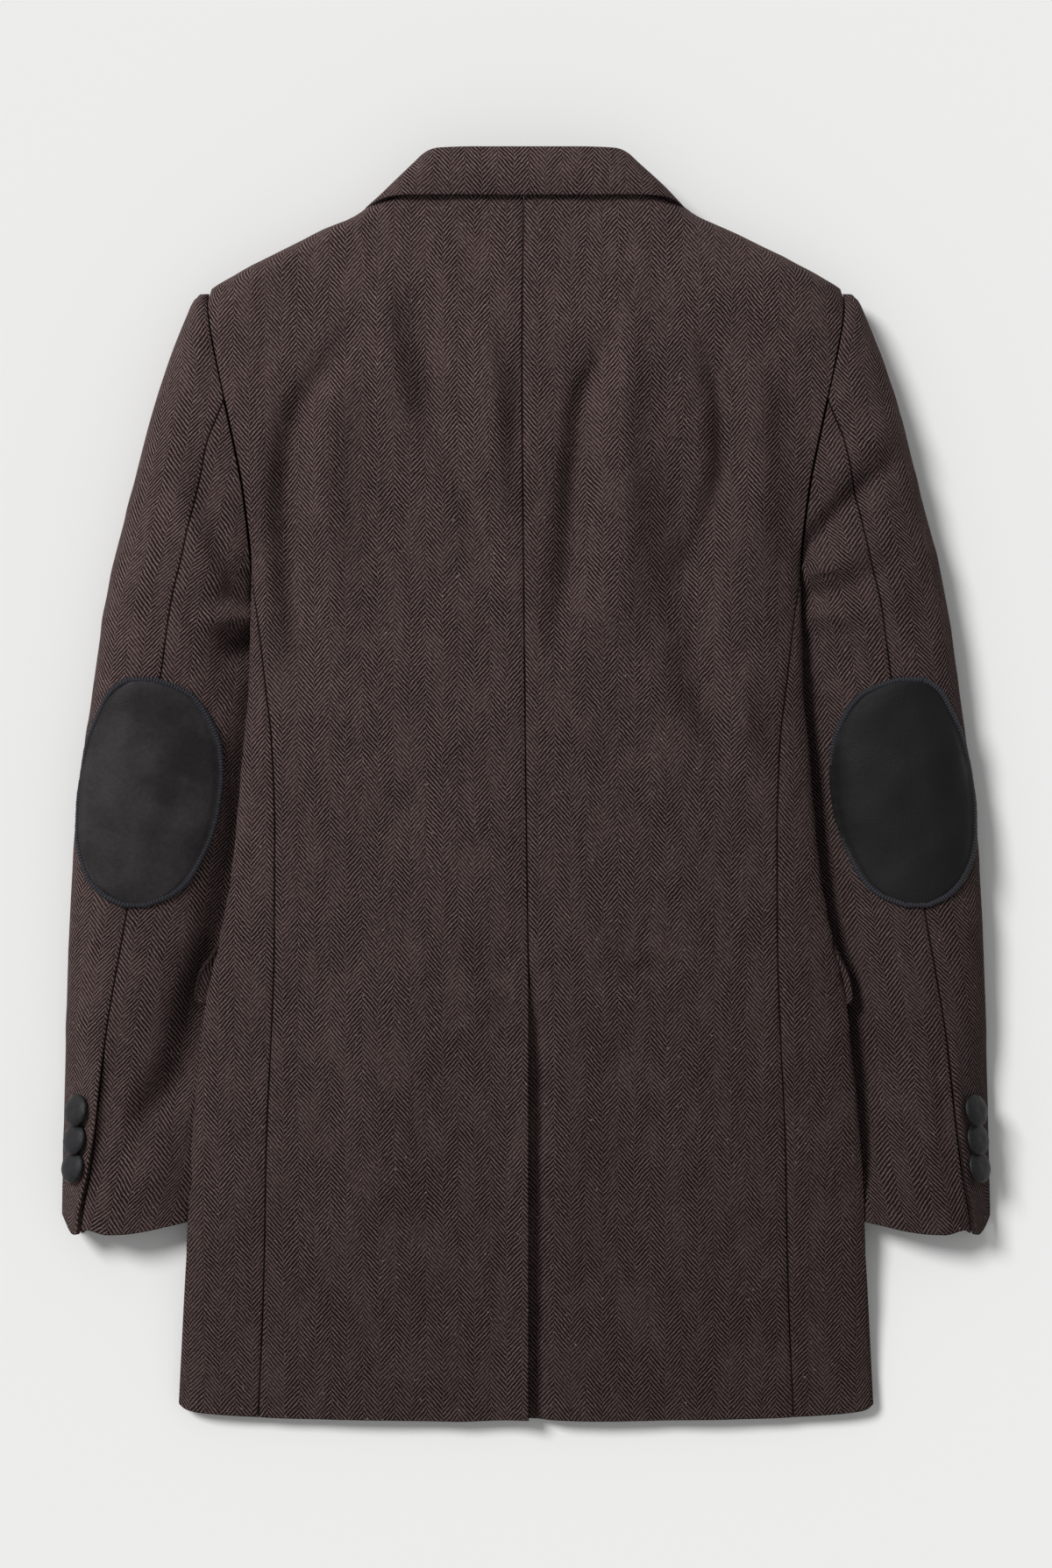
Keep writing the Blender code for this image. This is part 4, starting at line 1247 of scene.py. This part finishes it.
def make_cuff_buttons(looks):
    """Three covered buttons a cuff, each one's lower rim over the next one's upper rim."""
    body, faces = button_cover()
    tilt, lean = np.radians(BUTTON_TILT), np.radians(BUTTON_LEAN)
    for place, (down, half, off) in enumerate(zip(*CUFF_BUTTONS.values()), start=1):
        point, out = sleeve_point(down, half - BUTTON_SHIFT)
        leant_x = out[0] * np.cos(lean) + out[2] * np.sin(lean)
        leant_z = out[2] * np.cos(lean) - out[0] * np.sin(lean)
        out = np.array([leant_x, out[1], leant_z])
        along = unit(np.cross(out, [0, 1, 0]))
        up = np.cross(along, out)
        face = np.cos(tilt) * out + np.sin(tilt) * up * np.sign(up[1])
        turn = np.stack([along, np.cross(face, along), face])
        if np.linalg.det(turn) < 0:
            turn[0] *= -1
        points = point + out * (off + BUTTON_RISE) + body @ turn
        for side in SIDES:
            node = f"cuff_button_{side}_{place}"
            left, look = side == "left", looks["button"]
            add_mesh(f"{node}_cover", points, faces, body[:, :2], look, node, left, 180)


class Nodes:
    """A short hand for adding nodes to a tree and joining them."""

    def __init__(self, tree):
        self.tree = tree

    def fill(self, node, inputs):
        """Joins or sets a node's inputs, and returns the node."""
        for name, value in inputs.items():
            if isinstance(value, bpy.types.NodeSocket):
                self.tree.links.new(value, node.inputs[name])
            else:
                node.inputs[name].default_value = value
        return node

    def add(self, kind, inputs=None, **settings):
        node = self.tree.nodes.new(kind)
        for name, value in settings.items():
            setattr(node, name, value)
        return self.fill(node, inputs or {})

    def maths(self, operation, first, second=0.0, third=0.0):
        inputs = {0: first, 1: second, 2: third}
        return self.add("ShaderNodeMath", inputs, operation=operation).outputs[0]

    def product(self, first, second):
        return self.maths("MULTIPLY", first, second)

    def scaled(self, value, factor, added):
        """The value times a factor, plus another one."""
        return self.maths("MULTIPLY_ADD", value, factor, added)

    def moved(self, noise, reach, value):
        """The value moved by a noise about its middle."""
        return self.scaled(self.maths("SUBTRACT", noise, 0.5), reach, value)

    def wave(self, turns):
        """The cosine of a number of turns."""
        return self.maths("COSINE", self.product(turns, 2 * np.pi))

    def ramp(self, value, low, high, out_low=0.0, out_high=1.0):
        """A soft step between two values of its input."""
        inputs = {"Value": value, "From Min": low, "From Max": high, "To Min": out_low, "To Max": out_high}
        return self.add("ShaderNodeMapRange", inputs, interpolation_type="SMOOTHSTEP").outputs[0]

    def mix(self, share, first, second):
        """A mix of two colours, each a socket or a plain colour."""
        first, second = ((*c, 1) if isinstance(c, tuple) else c for c in (first, second))
        node = self.add("ShaderNodeMix", data_type="RGBA")
        return self.fill(node, {0: share, 6: first, 7: second}).outputs[2]

    def vector(self, operation, inputs):
        return self.add("ShaderNodeVectorMath", inputs, operation=operation).outputs[0]

    def noise(self, place, scale, detail=3.0, roughness=0.55):
        inputs = {"Vector": place, "Scale": scale, "Detail": detail, "Roughness": roughness}
        return self.add("ShaderNodeTexNoise", inputs).outputs["Fac"]

    def wander(self, place, scale):
        """A coloured noise taken apart, for moving the weave both ways."""
        inputs = {"Vector": place, "Scale": scale, "Detail": 2.0}
        colour = self.add("ShaderNodeTexNoise", inputs).outputs["Color"]
        return self.add("ShaderNodeSeparateColor", {0: colour}).outputs

    def group(self, tree, inputs):
        return self.fill(self.add("ShaderNodeGroup", node_tree=tree), inputs).outputs


def new_group(name, inputs, outputs):
    """An empty node group with its sockets: the group, its given values and its output node."""
    group = bpy.data.node_groups.new(name, "ShaderNodeTree")
    for label, kind, default in inputs:
        socket = group.interface.new_socket(label, in_out="INPUT", socket_type=kind)
        if default is not None:
            socket.default_value = default
    for label in outputs:
        group.interface.new_socket(label, in_out="OUTPUT", socket_type="NodeSocketFloat")
    return group, group.nodes.new("NodeGroupInput").outputs, group.nodes.new("NodeGroupOutput")


def herringbone_group():
    """The herringbone weave on cloth coordinates in metres.

    Across the cloth a ping-pong makes the twill's zigzag, and along it the twill lines are a
    wave of pitch length, shifted by half a pitch from one stripe to the next. Each twill line
    is broken into yarn floats by a finer wave along it. Two noises make the yarns wander. It
    gives the share of light yarn and the weave's height, both 0 to 1.
    """
    given = [("Place", "NodeSocketVector", None)]
    for label, default in (("Stripe", 0.0113), ("Pitch", 0.0034), ("Shift", 0.0)):
        given.append((label, "NodeSocketFloat", default))
    group, given, out = new_group("overcoat_herringbone", given, ("Light Yarn", "Height"))
    n = Nodes(group)
    place, stripe, pitch = given["Place"], given["Stripe"], given["Pitch"]
    slow, quick = n.wander(place, 60.0), n.wander(place, 420.0)
    split = n.add("ShaderNodeSeparateXYZ", {0: place}).outputs
    across = n.moved(quick[0], 0.0011, n.moved(slow[0], 0.0022, split[0]))
    across = n.maths("ADD", across, given["Shift"])
    along = n.moved(quick[1], 0.0012, n.moved(slow[1], 0.0022, split[1]))
    zigzag = n.maths("PINGPONG", across, stripe)
    column = n.maths("FLOOR", n.maths("DIVIDE", across, stripe))
    odd = n.maths("PINGPONG", column, 1.0)
    line = n.wave(n.scaled(odd, 0.5, n.maths("DIVIDE", n.scaled(zigzag, 1.15, along), pitch)))
    floats = n.wave(n.maths("DIVIDE", n.scaled(zigzag, -0.87, along), n.product(pitch, 0.5)))
    height = n.scaled(floats, 0.16, n.scaled(line, 0.34, 0.5))
    near_break = n.maths("ABSOLUTE", n.maths("SUBTRACT", n.maths("DIVIDE", zigzag, stripe), 0.5))
    groove = n.ramp(near_break, 0.43, 0.5)
    light = n.ramp(n.scaled(floats, 0.26, line), 0.0, 0.95)
    n.fill(out, {"Light Yarn": light, "Height": n.product(height, n.scaled(groove, -0.25, 1.0))})
    return group


def mottle_group():
    """Unevenness at three sizes from Object coordinates, cloudy, grainy and hair fine, each 0 to 1.

    The last output is a factor of painted light and shade: the cloth is painted paler at the upper left
    and darker at the lower right, as the light falls off across it.
    """
    labels = ("Cloud", "Grain", "Hair", "Painted Falloff")
    group, given, out = new_group("overcoat_mottle", [("Place", "NodeSocketVector", None)], labels)
    n = Nodes(group)
    place = given["Place"]
    for label, scale, detail in (("Cloud", 26.0, 4.0), ("Grain", 330.0, 3.0), ("Hair", 1500.0, 2.0)):
        n.fill(out, {label: n.ramp(n.noise(place, scale, detail), 0.3, 0.7)})
    split = n.add("ShaderNodeSeparateXYZ", {0: place}).outputs
    # Painted light falloff: a factor from 1.10 at the upper left down to 0.58 at the lower right.
    slant = n.product(n.maths("SUBTRACT", split[1], split[0]), 0.8)
    n.fill(out, {"Painted Falloff": n.ramp(slant, -0.60, 0.60, 0.58, 1.10)})
    return group


def new_material(name, mottle):
    """A material with its nodes' short hand, shader, places and unevenness."""
    made = bpy.data.materials.new(name)
    made.use_nodes = True
    n = Nodes(made.node_tree)
    place = n.add("ShaderNodeTexCoord").outputs["Object"]
    chart = n.add("ShaderNodeUVMap", uv_map="Cloth").outputs[0]
    shader = made.node_tree.nodes["Principled BSDF"]
    return made, n, shader, place, chart, n.group(mottle, {"Place": place})


def bumped(n, shader, height, distance):
    bump = n.add("ShaderNodeBump", {"Height": height, "Distance": distance, "Strength": 1.0})
    n.fill(shader, {"Normal": bump.outputs[0]})


def tweed_material(herringbone, mottle, look):
    """Light and dark yarns in a herringbone, heathered, with lint and a raised nap.

    The light yarn is patchy and fades out at a panel's rim. A drawn-out nap hides the weave in places, and
    a painted sheen lightens the cloth where it is seen edge on. A painted falloff of light makes the cloth
    paler at the upper left and darker at the lower right.
    """
    made, n, shader, place, chart, uneven = new_material("herringbone_tweed", mottle)
    given = {"Place": chart, "Stripe": look.stripe, "Pitch": look.pitch, "Shift": -0.0087}
    weave = n.group(herringbone, given)
    grain, hair = uneven["Grain"], uneven["Hair"]
    rim = n.add("ShaderNodeAttribute", attribute_name="Rim").outputs["Fac"]
    patchy = n.product(n.scaled(grain, 0.42, 0.62), n.ramp(rim, 0.25, 1.0, 0.1, 1.0))
    share = n.scaled(hair, 0.05, n.product(weave["Light Yarn"], patchy))
    share = n.add("ShaderNodeClamp", {0: share}).outputs[0]
    colour = n.mix(share, tuple(look.dark_yarn), tuple(look.light_yarn))
    streaks = n.vector("MULTIPLY", {0: chart, 1: (1.0, 0.32, 1.0)})
    fuzz_and_sheen = n.ramp(n.noise(streaks, 70.0, 4.0, 0.6), 0.42, 0.66)
    fuzz_and_sheen = n.product(fuzz_and_sheen, n.scaled(grain, 0.20, 0.16))
    # Painted sheen: where the cloth is seen edge on it is lightened towards the nap colour, less so at the
    # panels' rims.
    edge_on = n.add("ShaderNodeLayerWeight", {"Blend": 0.3}).outputs["Facing"]
    fuzz_and_sheen = n.scaled(n.ramp(edge_on, 0.25, 1.0), n.product(rim, 0.55), fuzz_and_sheen)
    colour = n.mix(fuzz_and_sheen, colour, tuple(look.fuzz_and_sheen))
    # Painted shade: the cloud mottle is multiplied by the painted falloff of light, paler at the upper
    # left and darker at the lower right.
    shade = n.product(n.ramp(uneven["Cloud"], 0.0, 1.0, 0.95, 1.04), uneven["Painted Falloff"])
    colour = n.vector("SCALE", {0: colour, "Scale": shade})
    speck = n.ramp(n.noise(place, 430.0, 2.0, 0.4), 0.745, 0.765)
    colour = n.mix(n.product(speck, 0.34), colour, tuple(look.lint))
    height = n.scaled(hair, 0.35, n.scaled(grain, 0.55, weave["Height"]))
    bumped(n, shader, height, look.weave_height)
    inputs = {
        "Base Color": colour,
        "Roughness": 0.92,
        "Specular IOR Level": 0.05,
        "Sheen Weight": look.sheen,
        "Sheen Roughness": 0.6,
        "Sheen Tint": (0.75, 0.60, 0.52, 1),
    }
    n.fill(shader, inputs)
    return made


def leather_material(mottle, trim):
    """Black leather: a fine pebbled grain, scuffed a little lighter and painted lighter at the upper left,
    with a dull sheen.
    """
    made, n, shader, place, _, uneven = new_material("patch_leather", mottle)
    pebble = n.add("ShaderNodeTexVoronoi", {"Vector": place, "Scale": 1400.0}).outputs["Distance"]
    scuff_and_painted_light = n.product(n.ramp(uneven["Cloud"], 0, 1, 0.3, 0.75), n.scaled(uneven["Grain"], 0.25, 0.6))
    # Painted light: the scuffs are multiplied by the painted falloff, so the leather is painted lighter at
    # the upper left and darker at the lower right.
    scuff_and_painted_light = n.product(scuff_and_painted_light, n.ramp(uneven["Painted Falloff"], 0.7, 1.0, 0.1, 1.2))
    bumped(n, shader, n.scaled(uneven["Grain"], 0.6, pebble), 0.00010)
    inputs = {
        "Base Color": n.mix(scuff_and_painted_light, tuple(trim.leather), tuple(trim.scuff_and_painted_light)),
        "Roughness": n.ramp(uneven["Cloud"], 0, 1, 0.48, 0.66),
        "Specular IOR Level": 0.13,
        "Sheen Weight": 0.02,
    }
    n.fill(shader, inputs)
    return made


def stitch_material(mottle, trim):
    """Thick dull thread wound over the patch's edge, with painted shade between the turns."""
    made, n, shader, _, chart, uneven = new_material("patch_stitch", mottle)
    run = n.add("ShaderNodeSeparateXYZ", {0: chart}).outputs[0]
    turns = n.maths("COSINE", n.product(run, 2 * np.pi / (STITCH_PITCH * MM)))
    crown = n.ramp(turns, -1.0, 0.6)
    share = n.product(crown, n.ramp(uneven["Hair"], 0, 1, 0.55, 1.0))
    # Painted shade: between the turns the thread is painted at about a third of its colour.
    colour = n.mix(share, tuple(0.35 * c for c in trim.thread), tuple(trim.thread))
    bumped(n, shader, n.scaled(uneven["Hair"], 0.3, crown), 0.0006)
    n.fill(shader, {"Base Color": colour, "Roughness": 0.7})
    return made


def button_material(mottle, trim):
    """Black covered buttons with a faint satin, finely grained."""
    made, n, shader, _, _, uneven = new_material("covered_button", mottle)
    grain = uneven["Grain"]
    bumped(n, shader, uneven["Hair"], 0.00010)
    inputs = {
        "Base Color": n.mix(grain, tuple(trim.button), tuple(1.9 * c for c in trim.button)),
        "Roughness": n.ramp(grain, 0, 1, 0.40, 0.55),
        "Specular IOR Level": 0.25,
    }
    n.fill(shader, inputs)
    return made


LOOKS = {}


def looks_of(context):
    """The materials, made at the first call and shared by the pieces after it."""
    if not LOOKS:
        herringbone, mottle = herringbone_group(), mottle_group()
        trim = context.scene.overcoat_trim
        LOOKS["tweed"] = tweed_material(herringbone, mottle, context.scene.overcoat_cloth)
        LOOKS["leather"] = leather_material(mottle, trim)
        LOOKS["stitch"] = stitch_material(mottle, trim)
        LOOKS["button"] = button_material(mottle, trim)
    return LOOKS


class OvercoatCloth(bpy.types.PropertyGroup):
    """The tweed: its weave, yarns and creases."""

    stripe: FloatProperty(
        name="Stripe", description="Width of one herringbone stripe",
        default=0.0113, min=0.002, unit="LENGTH",
    )
    pitch: FloatProperty(
        name="Twill pitch", description="Distance down the cloth from one twill line to the next",
        default=0.0034, min=0.0005, unit="LENGTH",
    )
    weave_height: FloatProperty(
        name="Weave height", description="Relief of the weave and its nap",
        default=0.0006, min=0.0, unit="LENGTH",
    )
    light_yarn: FloatVectorProperty(
        name="Light yarn", description="Colour of the light yarn",
        subtype="COLOR", default=(0.200, 0.141, 0.134), min=0, max=1,
    )
    dark_yarn: FloatVectorProperty(
        name="Dark yarn", description="Colour of the dark yarn",
        subtype="COLOR", default=(0.0105, 0.0058, 0.0055), min=0, max=1,
    )
    # This colour is both the nap where it hides the weave and the painted sheen where the cloth is seen
    # edge on.
    fuzz_and_sheen: FloatVectorProperty(
        name="Fuzz", description="Colour of the cloth where its nap hides the weave",
        subtype="COLOR", default=(0.105, 0.070, 0.066), min=0, max=1,
    )
    lint: FloatVectorProperty(
        name="Lint", description="Colour of the stray light fibres",
        subtype="COLOR", default=(0.42, 0.36, 0.33), min=0, max=1,
    )
    sheen: FloatProperty(
        name="Nap sheen", description="Strength of the wool's soft sheen",
        default=0.02, min=0, max=1, subtype="FACTOR",
    )
    fold_depth: FloatProperty(
        name="Fold depth", description="Depth of the folds, as a multiple of their own",
        default=2.2, min=0, max=3,
    )


class OvercoatTrim(bpy.types.PropertyGroup):
    """The patches, their stitching and the buttons."""

    leather: FloatVectorProperty(
        name="Leather", description="Colour of the elbow patches",
        subtype="COLOR", default=(0.0072, 0.0066, 0.0072), min=0, max=1,
    )
    # This colour is both the rubbed leather and the painted light at the upper left.
    scuff_and_painted_light: FloatVectorProperty(
        name="Scuffed leather", description="Colour where the leather is rubbed",
        subtype="COLOR", default=(0.040, 0.035, 0.037), min=0, max=1,
    )
    thread: FloatVectorProperty(
        name="Thread", description="Colour of the patches' overlock thread",
        subtype="COLOR", default=(0.016, 0.017, 0.027), min=0, max=1,
    )
    button: FloatVectorProperty(
        name="Button", description="Colour of the covered buttons",
        subtype="COLOR", default=(0.005, 0.0048, 0.006), min=0, max=1,
    )


class OvercoatStage(bpy.types.PropertyGroup):
    """The surface, the light and the camera."""

    floor: FloatVectorProperty(
        name="Surface", description="Colour of the surface under the coat",
        subtype="COLOR", default=(0.80, 0.80, 0.795), min=0, max=1,
    )
    key: FloatProperty(
        name="Key light", description="Strength of the light from the upper left", default=2.9, min=0
    )
    sky: FloatProperty(
        name="Room light", description="Strength of the light from all round", default=0.40, min=0
    )
    height: FloatProperty(
        name="Camera height", description="Height of the camera over the coat",
        default=3.111, min=0.5, unit="LENGTH",
    )


class OVERCOAT_OT_backs(bpy.types.Operator):
    """Make the two back panels, with the centre seam and the vent"""

    bl_idname = "overcoat.backs"
    bl_label = "Backs"

    def execute(self, context):
        for piece in make_backs(looks_of(context), context.scene.overcoat_cloth.fold_depth):
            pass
        return {"FINISHED"}


class OVERCOAT_OT_fronts(bpy.types.Operator):
    """Make the two fronts, which run round the sides and lie under the back"""

    bl_idname = "overcoat.fronts"
    bl_label = "Fronts"

    def execute(self, context):
        for piece in make_fronts(looks_of(context), context.scene.overcoat_cloth.fold_depth):
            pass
        return {"FINISHED"}


class OVERCOAT_OT_sleeves(bpy.types.Operator):
    """Make the top and under sleeves, with their folds and open cuffs"""

    bl_idname = "overcoat.sleeves"
    bl_label = "Sleeves"

    def execute(self, context):
        for piece in make_sleeves(looks_of(context), context.scene.overcoat_cloth.fold_depth):
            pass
        return {"FINISHED"}


class OVERCOAT_OT_collar(bpy.types.Operator):
    """Make the collar's fall and its stand"""

    bl_idname = "overcoat.collar"
    bl_label = "Collar"

    def execute(self, context):
        for piece in make_collar(looks_of(context)):
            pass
        return {"FINISHED"}


class OVERCOAT_OT_lapels(bpy.types.Operator):
    """Make the lapels, turned under the fronts"""

    bl_idname = "overcoat.lapels"
    bl_label = "Lapels"

    def execute(self, context):
        for piece in make_lapels(looks_of(context)):
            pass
        return {"FINISHED"}


class OVERCOAT_OT_patches(bpy.types.Operator):
    """Make the oval elbow patches with their overlocked edges"""

    bl_idname = "overcoat.patches"
    bl_label = "Elbow patches"

    def execute(self, context):
        pairs = make_patches(looks_of(context), context.scene.overcoat_cloth.fold_depth)
        return {"FINISHED"}


class OVERCOAT_OT_flaps(bpy.types.Operator):
    """Make the pocket flaps, whose tips stand out past the sides"""

    bl_idname = "overcoat.flaps"
    bl_label = "Pocket flaps"

    def execute(self, context):
        for piece in make_flaps(looks_of(context)):
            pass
        return {"FINISHED"}


class OVERCOAT_OT_buttons(bpy.types.Operator):
    """Make the covered buttons at the cuffs"""

    bl_idname = "overcoat.buttons"
    bl_label = "Cuff buttons"

    def execute(self, context):
        make_cuff_buttons(looks_of(context))
        return {"FINISHED"}


class OVERCOAT_OT_stage(bpy.types.Operator):
    """Make the pale surface, the soft light and the camera"""

    bl_idname = "overcoat.stage"
    bl_label = "Stage"

    def execute(self, context):
        make_stage(context.scene)
        return {"FINISHED"}


def add_object(scene, name, data):
    made = bpy.data.objects.new(name, data)
    scene.collection.objects.link(made)
    return made


def make_stage(scene):
    """A wide pale surface, a soft light from the upper left, light all round, and the camera."""
    stage = scene.overcoat_stage
    mesh = bpy.data.meshes.new("surface")
    corners = ((-1, -1), (1, -1), (1, 1), (-1, 1))
    places = [(FLOOR_REACH * x, FLOOR_REACH * y, FLOOR_HEIGHT) for x, y in corners]
    mesh.from_pydata(places, [], [(0, 1, 2, 3)])
    floor = add_object(scene, "surface", mesh)
    look = bpy.data.materials.new("pale_surface")
    look.use_nodes = True
    inputs = {"Base Color": (*stage.floor, 1), "Roughness": 0.9, "Specular IOR Level": 0.1}
    Nodes(look.node_tree).fill(look.node_tree.nodes["Principled BSDF"], inputs)
    mesh.materials.append(look)
    world = bpy.data.worlds.new("room")
    world.use_nodes = True
    inputs = {"Color": (1, 1, 1, 1), "Strength": stage.sky}
    Nodes(world.node_tree).fill(world.node_tree.nodes["Background"], inputs)
    scene.world = world
    key = bpy.data.lights.new("key", "SUN")
    key.energy = stage.key
    key.angle = np.radians(KEY_SPREAD)
    lamp = add_object(scene, "key", key)
    lamp.rotation_euler = Vector(KEY_FROM).to_track_quat("Z", "Y").to_euler()
    view = bpy.data.cameras.new("overhead")
    view.lens = CAMERA_LENS
    view.sensor_width = CAMERA_SENSOR
    eye = add_object(scene, "overhead", view)
    eye.location = (0.0, CAMERA_MIDDLE, stage.height)
    scene.camera = eye
    scene.view_settings.view_transform = "Standard"


class OVERCOAT_PT_panel(bpy.types.Panel):
    """The overcoat's pieces and settings"""

    bl_label = "Overcoat"
    bl_idname = "OVERCOAT_PT_panel"
    bl_space_type = "VIEW_3D"
    bl_region_type = "UI"
    bl_category = "Overcoat"

    def draw(self, context):
        scene = context.scene
        for group in (scene.overcoat_cloth, scene.overcoat_trim, scene.overcoat_stage):
            for name in group.__annotations__:
                self.layout.prop(group, name)
        for operator in OPERATORS:
            self.layout.operator(operator.bl_idname)


GROUPS = {
    "overcoat_cloth": OvercoatCloth,
    "overcoat_trim": OvercoatTrim,
    "overcoat_stage": OvercoatStage,
}
OPERATORS = (
    OVERCOAT_OT_backs,
    OVERCOAT_OT_fronts,
    OVERCOAT_OT_sleeves,
    OVERCOAT_OT_lapels,
    OVERCOAT_OT_collar,
    OVERCOAT_OT_patches,
    OVERCOAT_OT_flaps,
    OVERCOAT_OT_buttons,
    OVERCOAT_OT_stage,
)


def register():
    for made in (*GROUPS.values(), *OPERATORS, OVERCOAT_PT_panel):
        bpy.utils.register_class(made)
    for name, group in GROUPS.items():
        setattr(bpy.types.Scene, name, bpy.props.PointerProperty(type=group))


def unregister():
    for name in GROUPS:
        delattr(bpy.types.Scene, name)
    for made in (OVERCOAT_PT_panel, *reversed(OPERATORS), *reversed(GROUPS.values())):
        bpy.utils.unregister_class(made)


def main():
    register()
    for operator in OPERATORS:
        group, name = operator.bl_idname.split(".")
        getattr(getattr(bpy.ops, group), name)()


if __name__ == "__main__":
    main()
